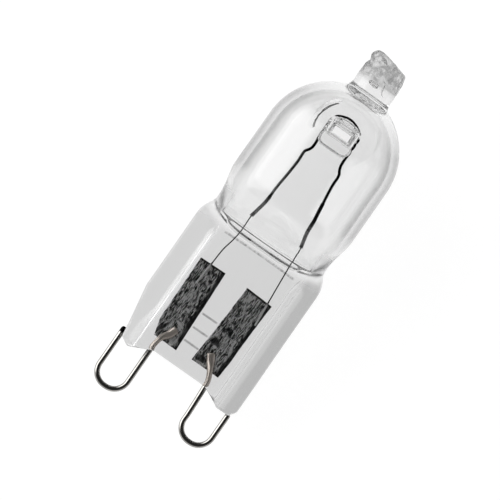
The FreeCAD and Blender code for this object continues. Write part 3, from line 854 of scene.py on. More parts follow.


# Molybdenum foil, rolled, etched to a knife edge and wetted by the hot quartz: a rough dark grey, with
# bright and black streaks along its length, painted silver reflections where the glass has let go and
# painted shade in creases. The streaks are drawn a good deal coarser than the etch, which is too fine to
# show.
@dataclass(frozen=True)
class FoilMetal:
    """Etched molybdenum foil: streaks along it, dark edges, and spots of painted reflection and crease
    shade near the welds.
    """

    tones: tuple[tuple[float, str], ...] = ((0.465, "080808"), (0.5, "8e8e8c"), (0.53, "ffffff"))
    dark: str = "080808"
    metallic: float = 0.4
    roughness: float = 0.5
    streak_mm: float = 0.08
    streak_stretch: tuple[float, float, float] = (1.0, 1.0, 0.16)
    streak_turn_deg: float = -4.0
    streak_height_mm: float = 0.03
    streak_strength: float = 0.6
    cloud_mm: float = 10 / 9
    cloud_share: float = 0.22
    dark_right: Pair = (0.83, 0.9)
    dark_top: Pair = (0.03, 0.015)
    dark_strength: float = 0.92
    flake_raggedness: float = 1.6
    flake_edge: Pair = (0.4, 0.0)
    # White spots are painted reflections where the quartz has let go; dark ones are painted shade in
    # creases.
    painted_flakes: tuple[Flake, ...] = (
        Flake(-2.04, 8.5, 0.5, 0.14, -22.0), Flake(-1.9, 8.2, 0.3, 0.1, -25.0),
        Flake(-2.2, 9.95, 0.28, 0.14, -30.0), Flake(-1.75, 7.05, 0.5, 0.35, -20.0, strength=0.5),
        Flake(-2.45, 6.85, 0.1, 0.4, 0.0, "040404", 0.9),
        Flake(-3.35, 7.3, 0.16, 0.95, -28.0, "060606", 0.8),
        Flake(-1.55, 9.5, 0.5, 0.12, -30.0, "060606", 0.8),
        Flake(-1.45, 8.9, 0.5, 0.12, -30.0, "060606", 0.8),
        Flake(1.62, 8.66, 0.2, 0.16), Flake(1.5, 9.1, 0.5, 0.22, -35.0, "080808", 0.8),
        Flake(1.2, 7.1, 0.5, 0.3, 0.0, "0a0a0a", 0.8), Flake(1.35, 6.72, 0.6, 0.14, strength=0.7),
        Flake(2.1, 9.5, 0.26, 0.9, 25.0, strength=0.35))

    def material(self) -> bpy.types.Material:
        """Builds the foil's lengthwise streaks, its dark edges and its spots of painted reflection and
        shade.

        Returns:
            The material.
        """
        nodes = LampNodes("etched_molybdenum_foil")
        drawn = nodes.add("Mapping", Vector=nodes.place, Scale=self.streak_stretch,
                          Rotation=(0.0, math.radians(self.streak_turn_deg), 0.0))
        streaks = nodes.add("TexNoise", Vector=drawn, Scale=1 / self.streak_mm, Detail=3.0, Roughness=0.7)
        clouds = nodes.add("TexNoise", Vector=nodes.place, Scale=1 / self.cloud_mm, Detail=3.0)
        clouds = nodes.add("Math", operation="MULTIPLY", in0=clouds, in1=self.cloud_share)
        mixed = nodes.add("Math", operation="MULTIPLY_ADD", in0=streaks, in1=1 - self.cloud_share,
                          in2=clouds)
        color = nodes.add("ValToRGB", Fac=mixed, stops=self.tones)
        sheet = nodes.add("Attribute", "Vector", attribute_name="sheet")
        over_down = nodes.add("SeparateXYZ", Vector=sheet).node.outputs
        for part, ends in ((over_down["X"], self.dark_right), (over_down["Y"], self.dark_top)):
            share = nodes.add("MapRange", Value=part, To_Max=self.dark_strength, **span(ends))
            color = nodes.add("Mix", 2, data_type="RGBA", in0=share, in6=color, in7=self.dark)
        # Painted reflections and crease shade, one oval at a time.
        for painted_flake in self.painted_flakes:
            off = nodes.add("VectorMath", operation="SUBTRACT", in0=nodes.place,
                            in1=(painted_flake.across, 0.0, painted_flake.up))
            off = nodes.add("VectorRotate", rotation_type="Y_AXIS", Vector=off,
                            Angle=math.radians(painted_flake.turn_deg))
            off = nodes.add("VectorMath", operation="MULTIPLY", in0=off,
                            in1=(1 / painted_flake.half_wide, 0.0, 1 / painted_flake.half_tall))
            off = nodes.add("VectorMath", "Value", operation="LENGTH", in0=off)
            off = nodes.add("Math", operation="MULTIPLY_ADD", in0=streaks, in1=-self.flake_raggedness,
                            in2=off)
            share = nodes.add("MapRange", Value=off, To_Max=painted_flake.strength, **span(self.flake_edge))
            color = nodes.add("Mix", 2, data_type="RGBA", in0=share, in6=color, in7=painted_flake.tint)
        bump = nodes.add("Bump", Strength=self.streak_strength, Distance=self.streak_height_mm * MM,
                         Height=streaks)
        metal = nodes.add("BsdfPrincipled", Base_Color=color, Metallic=self.metallic,
                          Roughness=self.roughness, Normal=bump)
        nodes.add("OutputMaterial", Surface=metal)
        return nodes.material


class Finish(Enum):
    """The finishes of the lamp's pieces."""

    QUARTZ = FusedQuartz()
    FOIL = FoilMetal()
    # Tungsten wire, drawn, then grown coarse by heat: matt, and almost black against a pale ground.
    FILAMENT = DrawnMetal("drawn_tungsten", light="080808", dark="020202", metallic=0.9, roughness=0.7,
                          grain_mm=0.08)
    # Thin molybdenum wire, drawn and oxidised in sealing: a dark line, with painted light where the foil
    # backs it.
    INNER_LEAD = DrawnMetal("thin_molybdenum_wire", light="181716", dark="080807", metallic=0.3,
                            roughness=0.5, sealed="ffffff", sealed_up=(14.6, 14.3), sealed_metallic=0.0)
    # Molybdenum wire, drawn bright for the pins: silver with black reflections, painted warm white where
    # light gets in round it in the glass.
    PIN_WIRE = DrawnMetal("molybdenum_pin_wire", light="c6c4c0", dark="aeaca8", roughness=0.15,
                          grain_mm=0.9, sealed="fff4ea", sealed_up=(5.1, 5.7))

    def material(self) -> bpy.types.Material:
        """Builds the finish's material."""
        return self.value.material()


# Pieces

@dataclass
class QuartzEnvelope:
    """Bulb, melted tip, dimples and pinch of one piece of quartz, with the gas space inside.

    A pair with up, across, from or to in its name gives the places between which a form sets in or fades.
    A squareness says how much squarer than an oval a section becomes, and by which power, and
    tip_left_fall is likewise a share and a power. Each of the lumps has a wavelength, a seed and a height.
    The three heights of pinch_side_up are the lower ends of the left and right sides and the top of both.
    """

    bulb_radius: float = 6.33
    wall: float = 0.75
    dome_middle: float = 28.64
    shoulder_top: float = 23.2
    shoulder_bottom: float = 17.2
    shoulder_squareness: Pair = (2.2, 1.5)
    waist_half: float = 5.84
    waist_share: float = 0.52
    tip_across: float = 0.09
    tip_radius: float = 2.0
    tip_top: float = 38.62
    tip_slope: float = 0.21
    tip_left_fall: Pair = (0.35, 1.5)
    tip_crown: float = -0.9
    tip_lean: float = 0.05
    tip_edge: float = 0.6
    tip_root: float = 0.5
    tip_foot: float = 3.0
    melted_up: Pair = (36.0, 37.3)
    melted_in: float = 0.12
    lumps: tuple[tuple[float, int, float], ...] = ((1.9, 5, 0.09), (0.9, 8, 0.05))
    lump_waves: int = 7
    lumps_on_top: float = 0.6
    pinch_half: float = 6.55
    pinch_corner: float = 0.3
    pinch_end: Route = ((-5.55, 5.7), (-5.45, 4.95), (-4.85, 4.6), (-2.75, 5.56), (2.95, 5.56), (4.1, 5.05),
                        (4.85, 4.63), (5.9, 4.63))
    pinch_side_up: tuple[float, float, float] = (9.8, 5.1, 25.0)
    pinch_edge: float = 0.35
    pinch_unevenness: float = 0.02
    rib_half_depth: float = 2.3
    rib_width: float = 2.05
    left_rib_slope: Pair = (-0.6, 1.5)
    right_rib_slope: Pair = (-0.9, 1.4)
    left_crest_fade: float = 0.8
    left_crest_up: Pair = (9.0, 6.2)
    rib_fade: float = 0.75
    rib_fade_up: Pair = (16.2, 18.8)
    web_half_depth: float = 1.4
    cavity_bottom: float = 18.2
    cavity_tilt: float = 0.3
    cavity_sag: float = 0.003
    cavity_end: float = 4.35
    cavity_squareness: Pair = (12.0, 3.0)
    cavity_narrowing: float = 2.2
    cavity_rounding: float = 0.35
    fold_up: float = 18.95
    fold_half: float = 0.15
    fold_depth: float = 0.2
    press_start: float = 19.7
    press_full: float = 17.2
    peg_across: float = 0.03
    peg_half: float = 1.18
    peg_bottom: float = 28.95
    peg_crown: float = 31.56
    peg_arch: float = 1.85
    peg_foot_rounding: float = 0.5
    peg_arch_rounding: float = 0.3
    peg_root: float = 0.14
    peg_flare: float = 0.04
    peg_rise: float = 0.03
    neck: float = 0.1
    flared_share: float = 0.93
    dimple_half: float = 1.02
    dimple_low: float = 30.15
    dimple_high: float = 31.12
    dimple_floor: float = 0.75
    dimple_corner: float = 0.15
    dimple_floor_rounding: float = 0.12
    dimple_lip: float = 0.25
    ring_at: Pair = (0.2, 30.6)
    ring_radius: float = 2.95
    ring_width: float = 0.2
    ring_depth: float = 0.14
    ring_left_across: Pair = (0.6, 1.4)
    ring_left_from: Pair = (-1.3, -0.8)
    ring_left_to: Pair = (2.0, 2.5)
    ring_right_across: Pair = (1.9, 2.6)
    ring_right_share: float = 0.35
    unevenness: float = 0.012
    bubble_at: tuple[float, float, float] = (-0.13, -1.25, 35.87)
    bubble_size: tuple[float, float, float] = (0.5, 0.48, 0.28)
    bubble_lean: float = 0.25
    bubble_rings: int = 16
    bubble_sides: int = 32
    crack_line: Route = (
        (0.3, 36.55), (0.6, 36.45), (0.72, 36.1), (0.75, 35.75), (0.95, 35.45), (1.2, 35.35))
    crack_plane: float = -1.45
    crack_half: Pair = (0.08, 0.25)
    crack_ends: float = 0.02
    grid_mm: float = 0.2
    grid_margin: float = 0.5
    grid_from_up: float = 3.6

    def bulb(self, points: Array, draw_in: float = 0.0) -> Array:
        """Distance to the round bulb and its shoulder, which flattens towards the web.

        Args:
            points: places in lamp millimetres.
            draw_in: how far the surface is drawn in, square to itself.

        Returns:
            One distance for each point.
        """
        across, away, up = np.moveaxis(points, -1, 0)
        radius, web = self.bulb_radius, self.web_half_depth
        height = self.shoulder_top - self.shoulder_bottom
        part = np.clip((self.shoulder_top - up) / height, 0, 1)
        deep = web + (radius - web) * (1 + np.cos(math.pi * part)) / 2
        steep = (radius - web) / 2 * math.pi / height * np.sin(math.pi * part)
        wide_part = np.minimum(1, part / self.waist_share)
        wide = self.waist_half + (radius - self.waist_half) * (1 + np.cos(math.pi * wide_part)) / 2
        above = np.maximum(up - self.dome_middle, 0)
        deep = deep - draw_in * np.hypot(1, steep)
        more, growth = self.cavity_squareness if draw_in else self.shoulder_squareness
        if draw_in:
            narrower = self.waist_half - draw_in - self.cavity_end
            wide = wide - draw_in - narrower * part ** self.cavity_narrowing
        power = 2 + more * part ** growth
        flat = (np.abs(across / wide) ** power + np.abs(away / deep) ** power) ** (1 / power)
        return (np.hypot(flat, above / (radius - draw_in)) - 1) * deep

    def tip(self, points: Array) -> Array:
        """Distance to the exhaust tip, whose melted end slopes down to the right and is lumpy.

        Args:
            points: places in lamp millimetres.

        Returns:
            One distance for each point.
        """
        across, away, up = np.moveaxis(points, -1, 0)
        across = across - self.tip_across
        melted = ramp(up, *self.melted_up)
        lumps = melted * sum(ripple(points, self.lump_waves, length, seed) * tall
                             for length, seed, tall in self.lumps)
        side = np.hypot(across, away) - self.tip_radius + self.melted_in * melted + lumps
        fall, power = self.tip_left_fall
        slope = (self.tip_slope * (across - self.tip_crown)
                 + fall * np.maximum(self.tip_crown - across, 0) ** power)
        top = up - self.tip_top + slope + self.tip_lean * away + self.lumps_on_top * lumps
        return np.maximum(soft_max(side, top, self.tip_edge), self.dome_middle + self.tip_foot - up)

    def pinch(self, points: Array) -> Array:
        """Distance to the pinch: two ribs with uneven ends, joined by a thinner web.

        Args:
            points: places in lamp millimetres.

        Returns:
            One distance for each point.
        """
        across, away, up = np.moveaxis(points, -1, 0)
        half = self.pinch_half - self.pinch_corner
        left_low, right_low, top = self.pinch_side_up
        corners = [(-half, top), (-half, left_low), *self.pinch_end, (half, right_low), (half, top)]
        edge = outline_distance(across, up, corners) - self.pinch_corner
        inner = self.pinch_half - self.rib_width
        left = ramp(-across, inner + self.left_rib_slope[0], inner + self.left_rib_slope[1])
        left = left * (1 - self.left_crest_fade * (away < 0) * ramp(up, *self.left_crest_up))
        right = ramp(across, inner + self.right_rib_slope[0], inner + self.right_rib_slope[1])
        rib = (left + right) * (1 - self.rib_fade * ramp(up, *self.rib_fade_up))
        depth = self.web_half_depth + (self.rib_half_depth - self.web_half_depth) * rib
        uneven = ripple(points * np.array([0.35, 0, 1]), waves=5, length=2.2, seed=11)
        depth = depth - self.pinch_unevenness * uneven
        return soft_max(edge, np.abs(away) - depth, self.pinch_edge)

    def peg(self, points: Array) -> Array:
        """Distance to the peg and its funnels: a flat foot, straight sides and an arched top.

        Args:
            points: places in lamp millimetres.

        Returns:
            One distance for each point.
        """
        across = np.abs(points[..., 0] - self.peg_across)
        away, up = np.abs(points[..., 1]), points[..., 2]
        grow = np.hypot(self.peg_flare * away, self.neck) - self.neck
        side = (across - self.peg_half - grow) * self.flared_share
        body = soft_max(side, self.peg_bottom - up, self.peg_foot_rounding)
        narrowed = across * self.peg_half / (self.peg_half + grow)
        arch = np.hypot(narrowed, up - self.peg_crown + self.peg_arch)
        return soft_max(body, arch - self.peg_arch, self.peg_arch_rounding)

    def dimples(self, points: Array) -> Array:
        """Distance to the air in the two dimples, whose floors are low rectangles.

        Args:
            points: places in lamp millimetres.

        Returns:
            One distance for each point.
        """
        across = np.abs(points[..., 0] - self.peg_across)
        away, up = np.abs(points[..., 1]), points[..., 2]
        depth = away - self.dimple_floor
        middle = (self.dimple_low + self.dimple_high) / 2
        half_height = (self.dimple_high - self.dimple_low) / 2
        side = (across - self.dimple_half - self.peg_flare * depth) * self.flared_share
        ends = np.abs(up - middle) - half_height - self.peg_rise * depth
        return soft_max(soft_max(side, ends, self.dimple_corner), -depth, self.dimple_floor_rounding)

    def gas(self, points: Array) -> Array:
        """Distance to the gas space round the peg, which ends in a fold above its floor.

        Args:
            points: places in lamp millimetres.

        Returns:
            One distance for each point.
        """
        across, up = points[..., 0], points[..., 2]
        sag = self.cavity_sag * across ** 2
        floor = self.cavity_bottom + sag - self.cavity_tilt * points[..., 1] - up
        above_fold = ramp(up - sag, self.fold_up - self.fold_half, self.fold_up + self.fold_half)
        fold = self.fold_depth * (1 - above_fold)
        space = soft_max(self.bulb(points, self.wall) + fold, floor, self.cavity_rounding)
        return soft_max(space, -self.peg(points), self.peg_root)

    def bubble(self) -> Mesh:
        """The bubble left in the melted tip, as a closed shape that faces inward.

        Returns:
            Its points and faces.
        """
        rings, sides = self.bubble_rings, self.bubble_sides
        points = [(0.0, 0.0, 1.0)]
        for ring in range(1, rings):
            high, wide = math.cos(math.pi * ring / rings), math.sin(math.pi * ring / rings)
            for k in range(sides):
                turn = 2 * math.pi * k / sides
                points.append((wide * math.cos(turn), wide * math.sin(turn), high))
        points.append((0.0, 0.0, -1.0))
        faces = []
        for k in range(sides):
            n = (k + 1) % sides
            faces.append([0, 1 + n, 1 + k])
            for ring in range(rings - 2):
                start = 1 + ring * sides
                faces.append([start + k, start + n, start + sides + n, start + sides + k])
            start = 1 + (rings - 2) * sides
            faces.append([start + k, start + n, len(points) - 1])
        ball = np.array(points)
        ball[:, 2] *= 1 + self.bubble_lean * ball[:, 0]
        return ball * np.array(self.bubble_size) + np.array(self.bubble_at), faces

    def crack(self) -> Mesh:
        """The thin curved crack beside the bubble, as a closed shape that faces inward.

        Returns:
            Its points and faces.
        """
        line = bent(self.crack_line, self.crack_plane, spacing=0.06)
        slim = self.crack_ends + np.sin(math.pi * np.linspace(0, 1, len(line)))
        wide, deep = self.crack_half
        points, faces = wire(line, wide * slim, deep * slim, sides=12)
        return points, [face[::-1] for face in faces]

    def press_ring(self, points: Array) -> Array:
        """Depth of the shallow ring round the dimples, deepest at its left.

        Args:
            points: places in lamp millimetres.

        Returns:
            One depth for each point.
        """
        across, away, up = np.moveaxis(points, -1, 0)
        across = across - self.ring_at[0]
        up = up - self.ring_at[1]
        groove = np.exp(-((np.hypot(across, up) - self.ring_radius) / self.ring_width) ** 2)
        left = ramp(-across, *self.ring_left_across) * ramp(up, *self.ring_left_from)
        left = left * (1 - ramp(up, *self.ring_left_to))
        right = self.ring_right_share * ramp(across, *self.ring_right_across)
        return self.ring_depth * groove * (left + right) * (away < 0)

    def outside(self, points: Array) -> Array:
        """Distance to the outside of bulb and pinch, which pass into each other below the waist."""
        pressed = 1 - ramp(points[..., 2], self.press_full, self.press_start)
        return self.bulb(points) * (1 - pressed) + self.pinch(points) * pressed

    def glass(self, points: Array) -> Array:
        """Distance to the glass itself.

        Args:
            points: places in lamp millimetres.

        Returns:
            One distance for each point.
        """
        outside = soft_min(self.outside(points), self.tip(points), self.tip_root)
        outside = outside + self.unevenness * ripple(points, waves=6, length=7.0, seed=3)
        outside = soft_max(outside + self.press_ring(points), -self.dimples(points), self.dimple_lip)
        return np.maximum(outside, -self.gas(points))

    def build(self, lamp: LampFrame) -> None:
        """Meshes the glass and dresses it.

        Args:
            lamp: the lamp's frame.
        """
        margin = self.grid_margin
        low = np.array([-self.pinch_half - margin, -self.bulb_radius - margin, self.grid_from_up])
        high = np.array([self.pinch_half + margin, self.bulb_radius + margin, self.tip_top + margin])
        step = self.grid_mm * 1
        skin, quads = surface_net(self.glass, low, high, step)
        slope = gradient(self.glass, skin)
        slope /= np.linalg.norm(slope, axis=1)[:, None]
        whole = joined([(skin, quads.tolist()), self.bubble(), self.crack()])
        piece = add_piece("glass_envelope", whole, lamp, Finish.QUARTZ.material(), "quartz_envelope")
        normals = np.array([vertex.normal[:] for vertex in piece.data.vertices])
        normals[:len(skin)] = slope @ np.array([lamp.across, lamp.away, lamp.up])
        piece.data.normals_split_custom_set_from_vertices(normals.tolist())


@dataclass(frozen=True)
class Coil:
    """One coil of round wire, by its outer radius, half its wire's thickness and its pitch."""

    radius: float
    thick: float
    pitch: float
    turn_steps: int = 12

    def wound(self, line: Array) -> Mesh:
        """Winds the coil round a line.

        Args:
            line: the coil's middle.

        Returns:
            Its points and faces.
        """
        length = np.linalg.norm(np.diff(line, axis=0), axis=1).sum()
        turns = length / self.pitch
        steps = int(turns * self.turn_steps) + 1
        middle = evenly(line, length / (steps - 1))
        tangent = along(middle)
        side = np.cross(tangent, [0.0, 1.0, 0.0])
        front = np.cross(side, tangent)
        angle = np.linspace(0, 2 * math.pi * turns, len(middle))
        out = side * np.cos(angle)[:, None] + front * np.sin(angle)[:, None]
        turned = middle + out * (self.radius - self.thick)
        return wire(turned, self.thick, self.thick, sides=6, upright=tangent)


@dataclass
class Filament:
    """Tungsten filament: two coiled legs with overwound feet, and a plain bridge over the peg."""

    plane: float = -0.055
    leg: Coil = Coil(radius=0.155, thick=0.05, pitch=0.13)
    foot: Coil = Coil(radius=0.19, thick=0.055, pitch=0.12)
    leg_step: float = 0.05
    bridge_half: float = 0.13
    bridge_step: float = 0.06
    left_leg: Route = (
        (-2.34, 20.4), (-2.22, 21.4), (-2.08, 22.3), (-1.99, 23.7), (-1.86, 25.1), (-1.77, 26.4),
        (-1.80, 27.25))
    right_leg: Route = (
        (2.8, 20.6), (2.7, 21.3), (2.57, 22.0), (2.44, 22.85), (2.32, 23.75), (2.21, 24.6), (2.08, 25.5),
        (1.98, 26.4), (1.97, 27.15))
    bridge: Route = (
        (-1.79, 27.2), (-1.77, 27.55), (-1.5, 27.95), (-1.4, 28.4), (-1.44, 29.4), (-1.44, 30.6),
        (-1.42, 31.3), (-1.0, 31.82), (0.0, 32.08), (1.0, 31.76), (1.48, 31.2), (1.5, 30.6), (1.54, 29.4),
        (1.57, 28.4), (1.7, 27.9), (1.9, 27.55), (1.97, 27.2))
    left_foot_length: float = 1.9
    right_foot_length: float = 4.1

    def build(self, lamp: LampFrame) -> None:
        """Coils the legs and feet, bends the bridge and dresses them.

        Args:
            lamp: the lamp's frame.
        """
        parts = []
        core = self.leg.radius - self.leg.thick
        for leg, foot_length in ((self.left_leg, self.left_foot_length),
                                 (self.right_leg, self.right_foot_length)):
            line = bent(leg, self.plane, self.leg_step)
            parts.append(self.leg.wound(line))
            parts.append(wire(line, core, core, sides=8))
            parts.append(self.foot.wound(line[: round(foot_length / self.leg_step)]))
        top = bent(self.bridge, self.plane, self.bridge_step)
        parts.append(wire(top, self.bridge_half, self.bridge_half, sides=12))
        add_piece("coiled_filament", joined(parts), lamp, Finish.FILAMENT.material(), "filament")


@dataclass
class InnerLeads:
    """The thin wires from the filament's feet down onto the foils, where they are pressed flat."""

    plane: float = -0.055
    half: float = 0.055
    flat_up: Pair = (14.3, 14.9)
    flat_wider: float = 0.7
    flat_thinner: float = 0.3
    left: Route = (
        (-3.0, 12.36), (-2.88, 14.0), (-2.83, 14.9), (-2.74, 16.2), (-2.48, 17.5), (-2.35, 18.85),
        (-2.34, 20.5))
    right: Route = (
        (3.46, 12.27), (3.3, 14.0), (3.23, 14.9), (3.13, 16.2), (3.03, 17.5), (2.9, 19.3), (2.8, 20.7))

    def build(self, lamp: LampFrame) -> None:
        """Bends both leads and dresses them.

        Args:
            lamp: the lamp's frame.
        """
        material = Finish.INNER_LEAD.material()
        for side, route in ((Side.LEFT, self.left), (Side.RIGHT, self.right)):
            line = bent(route, self.plane, spacing=0.12)
            flat = 1 - ramp(line[:, 2], *self.flat_up)
            lead = wire(line, self.half * (1 + self.flat_wider * flat),
                        self.half * (1 - self.flat_thinner * flat), sides=10)
            add_piece(f"inner_wire_{side.word}", lead, lamp, material, f"inner_lead_{side.word}")


@dataclass
class SealingFoils:
    """The two foils pressed into the web: thin, a little crumpled, the left one with a torn corner."""

    length: float = 8.0
    width: float = 2.75
    half_thickness: float = 0.012
    crumple: float = 0.02
    raggedness: float = 0.02
    cell: float = 0.09
    left_corners: Route = ((-3.96, 14.49), (-1.34, 14.56), (-1.03, 6.44), (-3.86, 6.49))
    right_corners: Route = ((0.99, 14.62), (3.74, 14.49), (3.43, 6.58), (0.59, 6.58))
    tear: Pair = (0.42, 1.6)
    left_seed: int = 21
    right_seed: int = 34

    def sheet(self, corners: Route, torn: bool, seed: int) -> tuple[Array, list[list[int]], Array]:
        """One foil as a thin closed sheet.

        Args:
            corners: upper left, upper right, lower right and lower left corner.
            torn: whether the lower left corner is torn away.
            seed: start of its crumples and ragged edges.

        Returns:
            Its points, its faces, and how far over and down the sheet each point lies.
        """
        draw = np.random.default_rng(seed)
        rows, columns = round(self.length / self.cell), round(self.width / self.cell)
        down, over = np.meshgrid(np.linspace(0, 1, rows), np.linspace(0, 1, columns), indexing="ij")
        top_left, top_right, low_right, low_left = (np.array(corner) for corner in corners)
        left = top_left + (low_left - top_left) * down[..., None]
        right = top_right + (low_right - top_right) * down[..., None]
        if torn:
            up = left[..., 1] - low_left[1]
            left[..., 0] += self.tear[0] * np.clip(1 - up / self.tear[1], 0, 1)
        ragged = np.cumsum(draw.normal(size=(2, rows)), axis=1)
        ragged = self.raggedness * (ragged - ragged.mean(axis=1, keepdims=True)) / max(ragged.std(), 1e-6)
        left[..., 0] += ragged[0][:, None]
        right[..., 0] += ragged[1][:, None]
        flat = left + (right - left) * over[..., None]
        place = np.stack([flat[..., 0], np.zeros_like(over), flat[..., 1]], axis=-1)
        wave = self.crumple * ripple(place * np.array([1.0, 1.0, 0.35]), waves=8, length=0.8, seed=seed + 1)
        front, back = place.copy(), place.copy()
        front[..., 1] = wave - self.half_thickness
        back[..., 1] = wave + self.half_thickness
        points = np.concatenate([front.reshape(-1, 3), back.reshape(-1, 3)])
        count = rows * columns
        faces = []
        for r in range(rows - 1):
            for c in range(columns - 1):
                at, below = r * columns + c, (r + 1) * columns + c
                quad = [at, below, below + 1, at + 1]
                faces.append(quad)
                faces.append([index + count for index in quad[::-1]])
        rim = ([c for c in range(columns)] + [(r + 1) * columns - 1 for r in range(1, rows)]
               + [(rows - 1) * columns + c for c in range(columns - 2, -1, -1)]
               + [r * columns for r in range(rows - 2, 0, -1)])
        faces += band(rim, [index + count for index in rim])
        share = np.stack([over, down, np.zeros_like(over)], axis=-1).reshape(-1, 3)
        return points, faces, np.concatenate([share, share])

    def build(self, lamp: LampFrame) -> None:
        """Lays both foils and dresses them.

        Args:
            lamp: the lamp's frame.
        """
        material = Finish.FOIL.material()
        for side, corners, seed in ((Side.LEFT, self.left_corners, self.left_seed),
                                    (Side.RIGHT, self.right_corners, self.right_seed)):
            points, faces, shares = self.sheet(corners, side is Side.LEFT, seed)
            foil = add_piece(f"sealing_foil_{side.word}", (points, faces), lamp, material,
                             f"foil_{side.word}")
            add_vectors(foil.data, "sheet", shares)


@dataclass
class PinLoop:
    """The two pin loops of round wire, each flattened where it is welded onto its foil."""

    wire: float = 0.5
    plane: float = -0.255
    half_width: float = 1.5
    bend: float = 1.42
    straight: float = 0.8
    left_middle: float = 4.45
    right_middle: float = 4.55
    left_bottom: float = 0.0
    right_bottom: float = 0.18
    left_end: float = 5.35
    right_end: float = 4.25
    left_entry: Route = ((-2.08, 7.9), (-2.36, 7.24), (-2.75, 6.67), (-2.92, 5.96), (-2.96, 5.2))
    right_entry: Route = ((1.74, 7.95), (2.14, 7.25), (2.54, 6.55), (2.82, 5.9), (2.92, 5.2))
    weld_run: Pair = (0.5, 1.9)
    weld_back: float = 0.12
    weld_wider: float = 0.45
    weld_thinner: float = 0.5

    def route(self, side: Side) -> Array:
        """The middle line of one loop.

        Args:
            side: the lamp's side that the loop is on.

        Returns:
            Points from its weld to its free end.
        """
        middle, bottom, end, entry = (
            (-self.left_middle, self.left_bottom, self.left_end, self.left_entry) if side is Side.LEFT
            else (self.right_middle, self.right_bottom, self.right_end, self.right_entry))
        low, out = bottom + self.wire / 2, side.value
        sealed, free = middle - out * self.half_width, middle + out * self.half_width
        line = [*entry, (sealed, low + self.bend + self.straight)]
        for start, way, degrees in ((sealed, out, range(0, 91, 10)), (free, -out, range(90, -1, -10))):
            for turn in map(math.radians, degrees):
                line.append((start + way * self.bend * (1 - math.cos(turn)),
                             low + self.bend * (1 - math.sin(turn))))
        line += [(free, low + self.bend + self.straight), (free, end)]
        return bent(line, self.plane, spacing=0.08)

    def build(self, lamp: LampFrame) -> None:
        """Bends both loops and dresses them.

        Args:
            lamp: the lamp's frame.
        """
        material = Finish.PIN_WIRE.material()
        half = self.wire / 2
        for side in Side:
            line = self.route(side)
            flat = 1 - ramp(run_along(line), *self.weld_run)
            line[:, 1] += self.weld_back * flat
            loop = wire(line, half * (1 + self.weld_wider * flat), half * (1 - self.weld_thinner * flat),
                        sides=20)
            add_piece(f"wire_loop_{side.word}", loop, lamp, material, f"pin_loop_{side.word}")


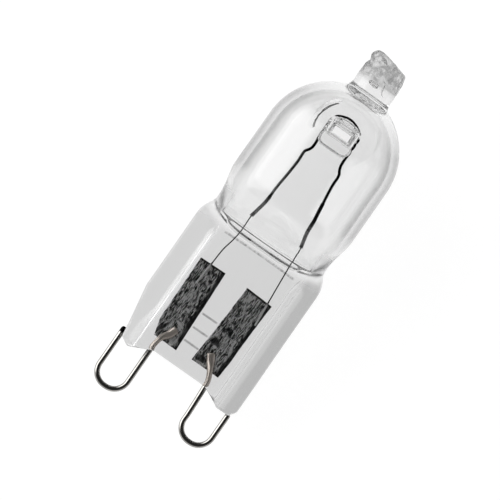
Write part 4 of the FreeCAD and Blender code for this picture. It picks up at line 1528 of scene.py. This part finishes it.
@dataclass
class Studio:
    """Pale floor, one large soft light at the left, a pale sky and the camera."""

    picture_turn_deg: float = 34.9
    picture_middle: Pair = (-0.747, 17.511)
    picture_side_mm: float = 44.444
    camera_distance_mm: float = 700.0
    sensor_mm: float = 36.0
    clip_start: float = 0.01
    floor_side: float = 6.0
    floor_color: str = "f4f4f4"
    floor_shaded: str = "6c6c6c"
    floor_glow: float = 0.975
    box_way: Pair = (-0.93, -0.36)
    box_height_mm: float = 24.0
    box_distance: float = 0.4
    box_wide: float = 0.62
    box_tall: float = 0.7
    box_level: float = 2.8
    box_fade: Pair = (1.0, 0.45)
    sky: tuple[tuple[float, str], ...] = ((0.0, "808080"), (0.8, "2c2c2c"))
    bounces: int = 48
    glass_bounces: int = 32

    def camera(self, lamp: LampFrame) -> None:
        """Sets the camera square to the lamp's axis, rolled so that the tip points up to the right.

        Args:
            lamp: the lamp's frame.
        """
        middle = lamp.spot(self.picture_middle[0], 0.0, self.picture_middle[1])
        turn = math.radians(self.picture_turn_deg)
        picture_up = lamp.up * math.cos(turn) - lamp.across * math.sin(turn)
        picture_right = lamp.across * math.cos(turn) + lamp.up * math.sin(turn)
        data = bpy.data.cameras.new("camera")
        data.sensor_width = self.sensor_mm
        data.lens = self.sensor_mm * self.camera_distance_mm / self.picture_side_mm
        data.clip_start = self.clip_start
        camera = bpy.data.objects.new("camera", data)
        turned = Matrix((picture_right, picture_up, -lamp.away)).transposed().to_4x4()
        camera.matrix_world = Matrix.Translation(middle - lamp.away * self.camera_distance_mm * MM) @ turned
        bpy.context.scene.collection.objects.link(camera)
        bpy.context.scene.camera = camera

    def sheet(self, name: str, corners: list[Any], material: bpy.types.Material) -> bpy.types.Object:
        """Adds a flat four-cornered piece of the studio.

        Args:
            name: its name.
            corners: its corners in order, in the row frame.
            material: its material, which reads each corner's place of -1 or 1 as "sheet".

        Returns:
            The new object.
        """
        mesh = bpy.data.meshes.new(name)
        mesh.from_pydata(corners, [], [[0, 1, 2, 3]])
        for loop, spot in zip(mesh.uv_layers.new(name="sheet").data, SQUARE):
            loop.uv = spot
        mesh.materials.append(material)
        piece = bpy.data.objects.new(name, mesh)
        bpy.context.scene.collection.objects.link(piece)
        return piece

    def floor(self) -> None:
        """Lays a matt white card; what looks at it directly or through glass sees it almost white."""
        half = self.floor_side / 2
        material = bpy.data.materials.new("white_card")
        nodes = Nodes(material)
        path = nodes.add("LightPath").node.outputs
        seen = nodes.add("Math", operation="MAXIMUM", in0=path["Is Camera Ray"], in1=path["Is Glossy Ray"])
        seen = nodes.add("Math", operation="MAXIMUM", in0=seen, in1=path["Is Transmission Ray"])
        card = nodes.add("BsdfDiffuse", Color=self.floor_color)
        white = nodes.add("AddShader", in0=nodes.add("BsdfDiffuse", Color=self.floor_shaded),
                          in1=nodes.add("Emission", Color="ffffff", Strength=self.floor_glow))
        nodes.add("OutputMaterial", Surface=nodes.add("MixShader", Fac=seen, in1=card, in2=white))
        self.sheet("floor", [(a * half, b * half, 0) for a, b in SQUARE], material)

    def softbox(self, lamp: LampFrame) -> None:
        """Hangs the large soft light at the lamp's left: lit white cloth that fades towards its rim.

        Args:
            lamp: the lamp's frame.
        """
        way = (lamp.across * self.box_way[0] + lamp.away * self.box_way[1]).normalized()
        middle = lamp.spot(0.0, 0.0, self.box_height_mm) + way * self.box_distance
        over = way.cross(lamp.up).normalized()
        corners = [middle + over * (a * self.box_wide / 2) + lamp.up * (b * self.box_tall / 2)
                   for a, b in SQUARE]
        material = bpy.data.materials.new("softbox_cloth")
        nodes = Nodes(material)
        across, up, _ = nodes.add("SeparateXYZ", Vector=nodes.add("UVMap", uv_map="sheet")).node.outputs
        level: Any = self.box_level
        for off in (across, up):
            fade = nodes.add("MapRange", interpolation_type="SMOOTHSTEP",
                             Value=nodes.add("Math", operation="ABSOLUTE", in0=off), **span(self.box_fade))
            level = nodes.add("Math", operation="MULTIPLY", in0=fade, in1=level)
        nodes.add("OutputMaterial", Surface=nodes.add("Emission", Color="ffffff", Strength=level))
        self.sheet("softbox", corners, material).visible_camera = False

    def world(self) -> None:
        """Adds a sky that is pale at the horizon and darker overhead, which gives the glass its edges."""
        world = bpy.data.worlds.new("studio_sky")
        bpy.context.scene.world = world
        nodes = Nodes(world)
        way = nodes.add("SeparateXYZ", "Z", Vector=nodes.add("TexCoord", "Generated"))
        color = nodes.add("ValToRGB", Fac=way, stops=self.sky)
        nodes.add("OutputWorld", Surface=nodes.add("Background", Color=color))

    def build(self, lamp: LampFrame) -> None:
        """Sets up floor, light, sky, camera and the view.

        Args:
            lamp: the lamp's frame.
        """
        self.floor()
        self.softbox(lamp)
        self.world()
        self.camera(lamp)
        scene = bpy.context.scene
        scene.view_settings.view_transform = "Standard"
        scene.cycles.max_bounces = self.bounces
        scene.cycles.transmission_bounces = self.glass_bounces
        scene.cycles.glossy_bounces = self.glass_bounces


def main() -> None:
    """Builds the lamp's pieces in order, then the studio."""
    logging.basicConfig(level=logging.INFO, format="%(name)s: %(message)s")
    lamp = LampFrame.from_record(frame["record"])
    for part in (QuartzEnvelope(), Filament(), InnerLeads(), SealingFoils(), PinLoop(), Studio()):
        part.build(lamp)


if __name__ == "__main__":
    main()
